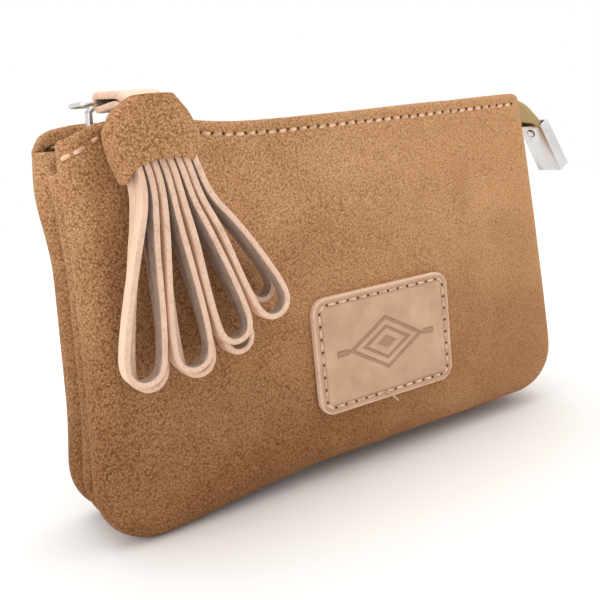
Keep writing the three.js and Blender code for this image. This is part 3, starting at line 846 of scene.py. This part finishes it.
class PURSE_OT_lining_walls(bpy.types.Operator):
    """Makes the inner walls that close the backs of the pouches"""

    bl_idname = "purse.lining_walls"
    bl_label = "Lining walls"

    def execute(self, context):
        columns = 48
        for pouch in pouches():
            low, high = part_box(pouch.wall)
            rows = []
            for left, right, z in heart_rows(pouch, pouch.wall_top, 0.3 * MM, 20):
                row = []
                for i in range(columns + 1):
                    x = mix(left, right, i / columns)
                    wave = 0.12 * MM * slack_at(x, z, pouch.seed + 40)
                    row.append(Vector((x, (low.y + high.y) / 2 + wave, z)))
                rows.append(row)
            piece = grid_piece(f"{pouch.name}_lining", rows)
            thicken(piece, context.scene.purse_sizes.lining, 0)
            turn_outwards(piece)
            sheet_of_pouch(piece, pouch, twill_lining(), pouch.wall)
        return {"FINISHED"}


# ---------- sewing ----------
def one_stitch(length, thick):
    """A lock-stitch: a short thread, fat in the middle and pulled down into the holes at its ends."""
    stitch = add_rod("stitch", thick / 2, length, 8, (0.5, 0.2, 0.8))
    for v in stitch.data.vertices:
        share = abs(v.co.x) / (length / 2)
        v.co.y *= 1.1 - 0.55 * share**3
        v.co.z *= 1.15 - 0.5 * share**3
        v.co.y += thick * 0.45 * share**2.5  # local +Y points into the leather
    smooth_shading(stitch, 60)
    return stitch


def sew_row(name, length, thick, places, hole_length, hole_thick, holes):
    """A row of stitches, with dark pits of painted shade at the needle holes between them."""
    stitches = copies_of(one_stitch(length, thick), places, f"{name}_stitches")
    settle(stitches, sewing_thread())
    # the needle holes: dark pits of painted shade
    shade_pits = copies_of(one_stitch(hole_length, hole_thick), holes, f"{name}_needle_holes")
    settle(shade_pits, needle_hole_shade())
    return stitches, shade_pits


def along_face(origin, ahead, outward, slant=0.0):
    """A placing matrix: local X runs ahead, local -Y points outward."""
    x = ahead.normalized()
    y = (-outward).normalized()
    y = (y - x * y.dot(x)).normalized()
    z = x.cross(y)
    place = Matrix((x, y, z)).transposed().to_4x4()
    place.translation = origin
    return place @ Matrix.Rotation(slant, 4, "Y")


class PURSE_OT_rim_stitches(bpy.types.Operator):
    """Sews the folded rims of the front and rear pouches"""

    bl_idname = "purse.rim_stitches"
    bl_label = "Rim stitches"

    def execute(self, context):
        sizes = context.scene.purse_sizes
        pitch = sizes.rim_stitch_pitch
        for pouch in pouches():
            if not pouch.swell:
                continue
            left, right = sides_at(pouch, pouch.top)
            right -= 0.5 * MM
            count = int((right - left) / pitch)
            places, holes = [], []
            outward = Vector((0, -pouch.facing, 0))

            def sewn(x):
                return face_point(pouch, x, pouch.rim(x) - sizes.rim_band, 0.1 * MM)

            for k in range(count):
                x = left + (k + 0.5) * (right - left) / count
                ahead = sewn(x + pitch / 2) - sewn(x - pitch / 2)
                places.append(along_face(sewn(x), ahead, outward, math.radians(-9)))
                hole = sewn(x + pitch / 2) + Vector((0, 0, 0.25 * MM))
                holes.append(along_face(hole, ahead, outward))
            # two more go round the front pouch's turned edge, at the slider's end
            for turn in () if pouch.behind else (24, 58):
                c, d = math.cos(math.radians(turn)), math.sin(math.radians(turn))
                reach = pouch.half + 0.15 * MM
                low = pouch.rim(left) - sizes.rim_band - 0.5 * MM - 1.8 * MM * turn / 58
                spot = Vector((left - reach * d, pouch.centre_y - reach * c, low))
                places.append(along_face(spot, Vector((c, -d, 0.35)), Vector((-d, -c, 0))))
            name = f"{pouch.name}_rim"
            for piece in sew_row(name, pitch * 0.9, sizes.thread, places, 0.9 * MM, 0.8 * MM, holes):
                sew_to(piece, pouch.body)
        return {"FINISHED"}


# ---------- patch ----------
def rounded_path(half_x, half_z, radius, count):
    """Evenly spaced points and directions clockwise round a rectangle with rounded corners."""
    quarter = math.pi * radius / 2
    across, down = 2 * (half_x - radius), 2 * (half_z - radius)
    runs = [(across, False), (quarter, True), (down, False), (quarter, True)] * 2
    total = sum(length for length, _ in runs)
    found = []
    for k in range(count):
        s = total * k / count
        heading = 0.0
        point = Vector((-(half_x - radius), 0, half_z))
        for length, bends in runs:
            step = min(s, length)
            turn = step / radius if bends else 0.0
            if bends:
                centre = point - Vector((math.sin(heading), 0, math.cos(heading))) * radius
                point = centre + Vector((math.sin(heading + turn), 0, math.cos(heading + turn))) * radius
            else:
                point = point + Vector((math.cos(heading), 0, -math.sin(heading))) * step
            heading += turn
            if s <= length:
                break
            s -= length
        found.append((point, Vector((math.cos(heading), 0, -math.sin(heading)))))
    return found


def patch_seam():
    """Half the length and half the height of the seam round the patch."""
    size = PATCH_HIGH - PATCH_LOW
    margin = bpy.context.scene.purse_sizes.patch_margin
    return size.x / 2 - margin, size.z / 2 - margin


class PURSE_OT_patch(bpy.types.Operator):
    """Cuts the leather patch, stamps it and sews it on"""

    bl_idname = "purse.patch"
    bl_label = "Leather patch"

    def execute(self, context):
        centre = (PATCH_LOW + PATCH_HIGH) / 2
        size = PATCH_HIGH - PATCH_LOW
        patch = add_unit_cube("stamped_patch", size, centre)
        with editing(patch):
            bpy.ops.mesh.select_mode(type="EDGE")
            select_where(patch, "edges", lambda e: abs(e.verts[0].co.y - e.verts[1].co.y) > size.y / 2)
            bpy.ops.mesh.bevel(offset=4 * MM, segments=8, affect="EDGES")
            select_where(patch, "edges", lambda e: all(v.co.y < centre.y for v in e.verts))
            bpy.ops.mesh.bevel(offset=0.4 * MM, segments=3, affect="EDGES")
            bpy.ops.mesh.select_mode(type="VERT")
        smooth_shading(patch, 45)
        patch.data.materials.append(stamped_patch_leather())
        patch.data.materials.append(leather_cut_edge())
        for face in patch.data.polygons:
            face.material_index = 0 if face.normal.y < -0.97 else 1
        settle(patch, None, "front_pouch", ["leather_patch"])

        half_x, half_z = patch_seam()
        pitch = context.scene.purse_sizes.patch_stitch_pitch
        count = round((4 * (half_x + half_z) - 4 * MM) / pitch)
        face_y = PATCH_LOW.y
        middle = Vector((centre.x, face_y + 0.02 * MM, centre.z))
        steps = rounded_path(half_x, half_z, 2.4 * MM, 2 * count)
        outward = Vector((0, -1, 0))
        sunk = Vector((0, 0.02 * MM, 0))
        places = [along_face(middle + p, ahead, outward) for p, ahead in steps[1::2]]
        holes = [along_face(middle + p + sunk, ahead, outward) for p, ahead in steps[0::2]]
        for piece in sew_row("patch", pitch * 0.8, 0.5 * MM, places, 0.75 * MM, 0.6 * MM, holes):
            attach(piece, "front_pouch")

        bpy.ops.curve.primitive_bezier_curve_add()
        end = context.object
        end.name = "patch_thread_end"
        spline = end.data.splines[0]
        root = Vector((centre.x - 1.8 * MM, face_y, centre.z - half_z))
        for point, place, reach in (
            (spline.bezier_points[0], root + Vector((0, 0.1 * MM, 0)), Vector((0.3, -0.9, -0.2)) * MM),
            (spline.bezier_points[1], root + Vector((3.0, -1.0, -2.9)) * MM, Vector((0.3, 0.5, -0.9)) * MM),
        ):
            point.co = place
            point.handle_left_type = point.handle_right_type = "FREE"
            point.handle_left = place - reach
            point.handle_right = place + reach
        end.data.bevel_depth = 0.26 * MM
        end.data.bevel_resolution = 3
        end.data.use_fill_caps = True
        end.data.resolution_u = 10
        bpy.ops.object.convert(target="MESH")
        smooth_shading(end, 60)
        settle(end, sewing_thread(), "front_pouch")
        return {"FINISHED"}


# ---------- zip ----------
class PURSE_OT_zip_tapes(bpy.types.Operator):
    """Weaves the two zip tapes, each sewn down inside a rim and turned in level to the teeth"""

    bl_idname = "purse.zip_tapes"
    bl_label = "Zip tapes"

    def execute(self, context):
        columns = 80
        for side, name in ((-1, "front"), (1, "rear")):
            low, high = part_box(f"{name}_zip_tape")
            reach = max(abs(low.y - ZIP_Y), abs(high.y - ZIP_Y)) - 0.4 * MM
            inner = min(abs(low.y - ZIP_Y), abs(high.y - ZIP_Y))
            fold = 2 * MM  # radius of the turn at the rim
            profile = [(reach, low.z + t * 1.35 * MM) for t in range(5)]
            for k in range(6):
                a = math.pi / 2 * k / 5
                profile.append((reach - fold * (1 - math.cos(a)), ZIP_Z - fold + fold * math.sin(a)))
            profile += [(mix(reach - fold, inner, t / 5), ZIP_Z) for t in range(1, 6)]
            rows = []
            for k in range(columns + 1):
                x = mix(low.x, high.x, k / columns)
                row = []
                for y, z in profile:
                    sag = 0.25 * MM * noise.noise(Vector((x * 90, y * 200, side * 5.0)))
                    sag *= smooth((y - inner) / fold)
                    row.append(Vector((x, ZIP_Y + side * (y - abs(sag) * 0.5), z + sag)))
                rows.append(row)
            piece = grid_piece(f"{name}_zip_tape_woven", rows)
            thicken(piece, context.scene.purse_sizes.tape, 0)
            turn_outwards(piece)
            smooth_shading(piece, 60)
            settle(piece, woven_tape(), replaces=[f"{name}_zip_tape"])
            sew_to(piece, f"{name}_pouch")
        return {"FINISHED"}


def cast_tooth(length, width, height):
    """One zip tooth, its tip hollowed and its edges rounded."""
    tooth = add_unit_cube("tooth", (length, width, height))
    with editing(tooth):
        select_where(tooth, "faces", lambda f: f.normal.y < -0.5)
        bpy.ops.mesh.inset(thickness=0.12 * MM)
        bpy.ops.transform.translate(value=(0, -0.02 * MM, 0))
        bpy.ops.mesh.select_all(action="SELECT")
        bpy.ops.mesh.bevel(offset=0.16 * MM, segments=2, affect="EDGES")
    smooth_shading(tooth, 50)
    return tooth


class PURSE_OT_zip_teeth(bpy.types.Operator):
    """Casts the zip teeth on their bead, and the stops at both ends"""

    bl_idname = "purse.zip_teeth"
    bl_label = "Zip teeth and stops"

    def execute(self, context):
        for side, name in ((-1, "front"), (1, "rear")):
            low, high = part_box(f"{name}_zip_teeth")
            tip, back = sorted((abs(low.y - ZIP_Y), abs(high.y - ZIP_Y)))
            middle_z = (low.z + high.z) / 2
            count = int((high.x - low.x - 1.6 * MM) / TOOTH_PITCH) + 1
            shift = 0 if side < 0 else TOOTH_PITCH / 2
            places = []
            for k in range(count):
                x = low.x + 1.0 * MM + shift + k * TOOTH_PITCH
                if x > high.x - 0.6 * MM:
                    continue
                place = Matrix.Translation((x, ZIP_Y + side * (tip + back) / 2, middle_z))
                if side < 0:
                    place = place @ Matrix.Rotation(math.pi, 4, "Z")
                places.append(place)
            tooth = cast_tooth(1.3 * MM, back - tip, high.z - low.z)
            teeth = copies_of(tooth, places, f"{name}_zip_teeth_cast")
            settle(teeth, plated_nickel())
            spot = ((low.x + high.x) / 2, ZIP_Y + side * (back - 0.25 * MM), middle_z)
            cuts = [k / 24 for k in range(1, 24)]
            bead = add_rod(f"{name}_zip_bead", 0.75 * MM, high.x - low.x, 12, cuts, spot)
            settle(bead, woven_tape())
            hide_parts(f"{name}_zip_teeth")
            stop = metal_of_node(f"{name}_top_stop", f"{name}_top_stop_clamp", 0.35 * MM, 50)
            for piece in (teeth, bead, stop):
                sew_to(piece, f"{name}_pouch")
        metal_of_node("bottom_stop", "bottom_stop_clamp", 0.45 * MM, 50, "front_pouch")
        return {"FINISHED"}


class PURSE_OT_slider(bpy.types.Operator):
    """Rounds and plates the zip slider, its bridge and the pull ring"""

    bl_idname = "purse.slider"
    bl_label = "Slider and pull ring"

    def execute(self, context):
        edge = context.scene.purse_sizes.metal_edge
        metal_of_node("slider_body", "slider_casting", edge, 40, "slider")
        metal_of_node("slider_bridge", "slider_bridge_cast", edge, 40, "slider")
        ring = copy_of_node("pull_ring", "pull_ring_wire")
        apply_modifier(ring, "SUBSURF", levels=2, render_levels=2)
        smooth_shading(ring, 60)
        settle(ring, plated_nickel(), "pull_ring", ["pull_ring"])
        return {"FINISHED"}


# ---------- tassel ----------
def strip(name, path, across, width, thickness, seed, rough=0.08 * MM):
    """A leather strip along a path, its width along the across vector. Its outer side is the grain."""
    rng = random.Random(seed)
    w, t, r = width / 2, thickness / 2, 0.17 * MM
    section = [
        (-w + r, t), (-w * 0.33, t), (w * 0.33, t), (w - r, t), (w, t - r), (w, -t + r),
        (w - r, -t), (w * 0.33, -t), (-w * 0.33, -t), (-w + r, -t), (-w, -t + r), (-w, t - r),
    ]
    rows = []
    for i, point in enumerate(path):
        before, after = path[max(i - 1, 0)], path[min(i + 1, len(path) - 1)]
        ahead = (after - before).normalized()
        side = (across - ahead * across.dot(ahead)).normalized()
        normal = ahead.cross(side)
        row = []
        for k, (a, b) in enumerate(section):
            reach = 1 if 3 <= k <= 6 or k >= 9 or k == 0 else 0.3  # the cut edges fray most
            fray = rng.uniform(-reach, reach) * rough
            row.append(point + side * (a + fray * (1 if a > 0 else -1)) + normal * (b + fray * 0.3))
        rows.append(row)
    piece = grid_piece(name, rows, closed=True)
    count = len(section)
    mesh = bmesh.new()
    mesh.from_mesh(piece.data)
    mesh.verts.ensure_lookup_table()
    mesh.faces.new([mesh.verts[k] for k in reversed(range(count))])
    last = (len(rows) - 1) * count
    mesh.faces.new([mesh.verts[last + k] for k in range(count)])
    mesh.to_mesh(piece.data)
    mesh.free()
    for material in (leather_grain(), leather_flesh(), leather_cut_edge()):
        piece.data.materials.append(material)
    for face in piece.data.polygons:
        place = face.index % count if face.index < (len(rows) - 1) * count else count
        face.material_index = 0 if place < 3 else 1 if 6 <= place < 9 else 2
    apply_modifier(piece, "SUBSURF", levels=1, render_levels=1)
    turn_outwards(piece)
    smooth_shading(piece, 70)
    return piece


def resample(path, step):
    """Points at even steps along a path."""
    lengths = [0.0]
    for a, b in zip(path, path[1:]):
        lengths.append(lengths[-1] + (b - a).length)
    count = max(round(lengths[-1] / step), 2)
    found, i = [], 0
    for k in range(count + 1):
        s = lengths[-1] * k / count
        while i < len(path) - 2 and lengths[i + 1] < s:
            i += 1
        found.append(path[i].lerp(path[i + 1], (s - lengths[i]) / (lengths[i + 1] - lengths[i])))
    return found


def loop_path(lean, drop, wide, slot):
    """A lace loop in X and Z: down from the collar, round the bottom and up again."""
    radius, leg = (wide - LACE_BULK) / 2, LACE_PITCH / 2
    straight = drop - radius
    half = [(leg, 5 * MM), (leg, 2.5 * MM), (leg, 0.0)]
    half += [(leg + (radius - leg) * smooth(k / 18 * 0.98), -straight * k / 18) for k in range(1, 19)]
    bottom = []
    for k in range(1, 16):
        a = math.pi * k / 16
        bottom.append((radius * math.cos(a), -straight - radius * math.sin(a)))
    whole = half + bottom + [(-x, z) for x, z in reversed(half)]
    found = []
    for x, z in whole:
        if z > 0:
            found.append((COLLAR_FOOT[0] + slot + x - z * math.tan(COLLAR_TILT), COLLAR_FOOT[1] + z))
            continue
        ease = smooth(-z / (12 * MM))
        turn = math.radians(lean) * ease
        found.append((
            COLLAR_FOOT[0] + slot + x * math.cos(turn) - z * math.sin(turn),
            COLLAR_FOOT[1] + z * math.cos(turn) + x * math.sin(turn) * ease,
        ))
    return found


class PURSE_OT_lace_loops(bpy.types.Operator):
    """Cuts the eight lace loops of the tassel"""

    bl_idname = "purse.lace_loops"
    bl_label = "Lace loops"

    def execute(self, context):
        sizes = context.scene.purse_sizes
        across = Vector((0, 1, 0))
        for layer, loops in LOOPS.items():
            low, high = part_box(f"{layer}_lace_loop_1")
            middle = (low.y + high.y) / 2
            for i, (lean, drop, wide) in enumerate(loops):
                slot = (i - 1.5) * 2 * LACE_PITCH
                flat = loop_path(lean, drop * MM, wide * MM, slot)
                path = []
                for k, (x, z) in enumerate(flat):
                    fall = smooth((COLLAR_FOOT[1] - z) / (30 * MM))
                    bow = 0.22 * MM * math.sin(i * 2.1 + (0 if layer == "front" else 1.3)) * fall
                    path.append(Vector((x, middle + bow, z)))
                for _ in range(6):
                    path[1:-1] = [b / 2 + (a + c) / 4 for a, b, c in zip(path, path[1:], path[2:])]
                path = resample(path, 1.6 * MM)
                piece = strip(
                    f"{layer}_lace_{i + 1}", path, across, sizes.lace_width, sizes.lace_thickness,
                    seed=i + (10 if layer == "front" else 30),
                )
                settle(piece, None, "tassel", [f"{layer}_lace_loop_{i + 1}"])
        return {"FINISHED"}


class PURSE_OT_tassel_strap(bpy.types.Operator):
    """Folds the tassel strap round the pull ring, both ends running down into the collar"""

    bl_idname = "purse.tassel_strap"
    bl_label = "Tassel strap"

    def execute(self, context):
        sizes = context.scene.purse_sizes
        low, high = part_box("tassel_strap")
        bar = Vector((0, RING_LOW.y + 0.65 * MM, (RING_LOW.z + RING_HIGH.z) / 2))
        thick = sizes.strap_thickness
        eye = 0.8 * MM + thick / 2
        foot_y = (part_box("front_lace_loop_1")[0].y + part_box("rear_lace_loop_1")[1].y) / 2
        bend = 8 * MM
        apart = thick / 2 + 0.12 * MM

        def run(out):
            """From the collar up to the ring, out above the middle line between the two layers."""
            radius = bend + out
            line = [Vector((0, foot_y - out, bar.z - bend - 1.5 * MM))]
            for k in range(9):
                a = math.pi / 2 * k / 8
                ahead, up = bend - radius * math.cos(a), radius * math.sin(a) - bend
                line.append(Vector((0, foot_y + ahead, bar.z + up)))
            return line

        upper, lower = run(apart), run(-apart)
        loop = []
        for k in range(15):
            a = math.radians(115) - math.radians(230) * k / 14
            loop.append(bar + Vector((0, math.cos(a), math.sin(a))) * eye)
        path = upper + loop + lower[::-1]
        middle_x = (low.x + high.x) / 2
        path = resample([p + Vector((middle_x, 0, 0)) for p in path], 0.9 * MM)
        for _ in range(2):
            path = [path[0]] + [
                path[i] * 0.5 + (path[i - 1] + path[i + 1]) * 0.25 for i in range(1, len(path) - 1)
            ] + [path[-1]]
        across = Vector((-1, 0, 0))
        strap = strip("folded_strap", path, across, high.x - low.x, thick, seed=77, rough=0.1 * MM)
        settle(strap, None, "tassel", ["tassel_strap"])
        return {"FINISHED"}


class PURSE_OT_tassel_collar(bpy.types.Operator):
    """Wraps the suede collar round the strap and the laces"""

    bl_idname = "purse.tassel_collar"
    bl_label = "Tassel collar"

    def execute(self, context):
        low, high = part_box("tassel_collar")
        middle_y = (low.y + high.y) / 2
        # left and right sides of the collar in X and Z, from its lower edge to its top
        left = [(-59.8, 79.3), (-61.6, 84.0), (-62.4, 89.8), (-60.2, 93.6), (-55.6, 96.8)]
        right = [(-45.2, 81.6), (-43.0, 84.6), (-42.4, 88.2), (-44.4, 92.6), (-47.4, 96.6)]
        depths = [5.0, 5.3, 5.2, 4.6, 3.6]
        rows = []
        steps = 20

        def level(values, t):
            """The value at step t of a list, with a straight line between its steps."""
            q = min(int(t), len(values) - 2)
            return mix(values[q], values[q + 1], t - q)

        def side(values, t):
            return Vector((level([x for x, z in values], t), 0, level([z for x, z in values], t))) * MM

        for j in range(steps + 1):
            row = []
            for i in range(64):
                a = 2 * math.pi * i / 64
                c, s = math.cos(a), math.sin(a)
                # the front of the lower edge arches up, and the back is cut lower at the top
                lowest = 0.85 * max(-s, 0) ** 1.5
                highest = (len(left) - 1) * (1 - 0.4 * max(s, 0) ** 0.8)
                t = mix(lowest, highest, j / steps)
                l, r = side(left, t), side(right, t)
                point = (l + r) / 2 + (r - l) / 2 * math.copysign(abs(c) ** 0.74, c)
                dent = 0.3 * MM * noise.noise(Vector((point.x * 170, s * 2.0, point.z * 170)))
                deep = math.copysign(abs(s) ** 0.62, s) * (level(depths, t) * MM + dent)
                row.append(Vector((point.x, middle_y + deep, point.z)))
            rows.append(row)
        collar = grid_piece("suede_collar", rows, closed=True)
        turn_outwards(collar)
        thicken(collar, 1.2 * MM, -1, levels=2)
        smooth_shading(collar, 60)
        settle(collar, split_suede("split_suede_collar", 1.05), "tassel", ["tassel_collar"])
        return {"FINISHED"}


# ---------- tail ----------
class PURSE_OT_zip_tail(bpy.types.Operator):
    """Folds the loose end of the tape over, and clamps the metal clip on it"""

    bl_idname = "purse.zip_tail"
    bl_label = "Zip tail and clip"

    def execute(self, context):
        tape_low, tape_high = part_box("tail_tape")
        lean = 30.8  # of the clip, in degrees
        slant = math.radians(lean)
        out_more = Vector((2.8 * MM, 0, 1.0 * MM))  # the tail stands out a little further than its solid
        top = Vector((tape_low.x + 18.6 * MM, 0, tape_high.z - 9.9 * MM)) + out_more
        down = Vector((math.sin(slant), 0, -math.cos(slant)))
        over = Vector((math.cos(slant), 0, math.sin(slant)))
        start = Vector((tape_low.x, 0, tape_high.z))

        def from_start(along, fall):
            return start + Vector((along, 0, -fall)) * MM

        in_clip = 2.8 * MM
        stations = [
            (from_start(along, fall), way, depth) for along, fall, way, depth in (
                (0, 0, -90, 7.0), (2.7, -0.3, -90, 7.0), (5.5, -0.5, -91, 7.0), (8.2, -0.6, -93, 7.0),
                (11, -0.4, -97, 6.9), (13.8, 0.2, -104, 6.6), (16.6, 1.2, -112, 6.0), (19, 2.8, -121, 5.0),
                (20.9, 4.8, -132, 3.7),
            )
        ]
        stations += [(top + over * in_clip + down * far * MM, lean - 180, 1.9) for far in (-0.6, 8, 15.2)]
        half = (tape_high.y - tape_low.y) / 2
        section = [(-1, 1.0), (-1, 0.66), (-1, 0.3), (-0.93, 0.07), (-0.75, 0), (-0.4, 0), (0, 0)]
        section += [(-a, d) for a, d in reversed(section[:-1])]
        rows = []
        for k, (point, way, depth) in enumerate(stations):
            a = math.radians(way)
            inward = Vector((math.cos(a), 0, math.sin(a)))
            crown = 0.5 * MM * (1 - k / (len(stations) - 1))
            row = []
            for share, d in section:
                lift = crown * (1 - share * share)
                deep = (d * depth + 0.35) * MM - lift
                row.append(Vector((0, ZIP_Y + share * half, 0)) + point + inward * deep)
            rows.append(row)
        tape = grid_piece("folded_tail_tape", rows)
        apply_modifier(tape, "SUBSURF", levels=1, render_levels=1)
        thicken(tape, 0.75 * MM, 1)
        turn_outwards(tape)
        smooth_shading(tape, 60)
        settle(tape, woven_tape(), "zip_tail", ["tail_tape"])

        metal_of_node("end_clip", "end_clip_plate", 0.18 * MM, 35, "zip_tail", out_more)
        metal_of_node("clip_screw", "clip_screw_head", 0.2 * MM, 40, "zip_tail", out_more)
        return {"FINISHED"}


# ---------- stage ----------
def soft_light(name, place, power, size):
    bpy.ops.object.light_add(type="AREA", location=place)
    light = bpy.context.object
    light.name = name
    light.data.energy = power
    light.data.size = size
    light.rotation_euler = (Vector((0, 0, 0.04)) - Vector(place)).to_track_quat("-Z", "Y").to_euler()
    light.visible_camera = False


class PURSE_OT_stage(bpy.types.Operator):
    """Sets up the pale floor, the soft studio light and the camera"""

    bl_idname = "purse.stage"
    bl_label = "Stage"

    def execute(self, context):
        stage = context.scene.purse_stage
        turn = Matrix.Rotation(-stage.camera_turn, 4, "Z")
        dip = Matrix.Rotation(math.pi / 2 - stage.camera_dip, 4, "X")
        roll = Matrix.Rotation(stage.camera_roll, 4, "Z")
        bpy.ops.object.camera_add()
        camera = context.object
        camera.name = "camera"
        camera.matrix_world = Matrix.Translation(stage.camera_place) @ turn @ dip @ roll
        camera.data.lens = stage.focal_length
        camera.data.sensor_width = 36
        camera.data.clip_start = 0.01
        context.scene.camera = camera

        bpy.ops.mesh.primitive_plane_add(size=1.6)
        floor = context.object
        floor.name = "floor"
        floor.data.materials.append(matt_floor())

        soft_light("left_light", (-0.8, 0.05, 0.35), stage.left_power, 0.6)
        soft_light("right_light", (0.7, -0.5, 0.55), stage.right_power, 0.7)
        soft_light("top_light", (0.05, 0.1, 0.8), stage.top_power, 0.9)
        world = bpy.data.worlds.new("pale_studio")
        world.use_nodes = True
        background = world.node_tree.nodes["Background"]
        background.inputs["Color"].default_value = (*linear("FFFFFF"), 1)
        background.inputs["Strength"].default_value = 1.0
        context.scene.world = world
        context.scene.view_settings.view_transform = "Standard"
        return {"FINISHED"}


class PURSE_PT_panel(bpy.types.Panel):
    """Lists the purse's pieces and settings"""

    bl_idname = "PURSE_PT_panel"
    bl_label = "Zip purse"
    bl_space_type = "VIEW_3D"
    bl_region_type = "UI"
    bl_category = "Purse"

    def draw(self, context):
        for group in (context.scene.purse_sizes, context.scene.purse_colours, context.scene.purse_stage):
            box = self.layout.box()
            for name in group.__annotations__:
                box.prop(group, name)
        for operator in OPERATORS:
            self.layout.operator(operator.bl_idname)


OPERATORS = (
    PURSE_OT_stage,
    PURSE_OT_lace_loops,
    PURSE_OT_lining_walls,
    PURSE_OT_suede_panels,
    PURSE_OT_rim_stitches,
    PURSE_OT_patch,
    PURSE_OT_zip_tapes,
    PURSE_OT_zip_teeth,
    PURSE_OT_slider,
    PURSE_OT_tassel_strap,
    PURSE_OT_tassel_collar,
    PURSE_OT_zip_tail,
)
CLASSES = (PurseSizes, PurseColours, PurseStage, *OPERATORS, PURSE_PT_panel)


def register():
    for cls in CLASSES:
        bpy.utils.register_class(cls)
    bpy.types.Scene.purse_sizes = bpy.props.PointerProperty(type=PurseSizes)
    bpy.types.Scene.purse_colours = bpy.props.PointerProperty(type=PurseColours)
    bpy.types.Scene.purse_stage = bpy.props.PointerProperty(type=PurseStage)


def unregister():
    del bpy.types.Scene.purse_sizes, bpy.types.Scene.purse_colours, bpy.types.Scene.purse_stage
    for cls in reversed(CLASSES):
        bpy.utils.unregister_class(cls)


def main():
    register()
    bpy.ops.purse.stage()
    bpy.ops.purse.lace_loops()
    bpy.ops.purse.lining_walls()
    bpy.ops.purse.suede_panels()
    bpy.ops.purse.rim_stitches()
    bpy.ops.purse.patch()
    bpy.ops.purse.zip_tapes()
    bpy.ops.purse.zip_teeth()
    bpy.ops.purse.slider()
    bpy.ops.purse.tassel_strap()
    bpy.ops.purse.tassel_collar()
    bpy.ops.purse.zip_tail()


if __name__ == "__main__":
    main()
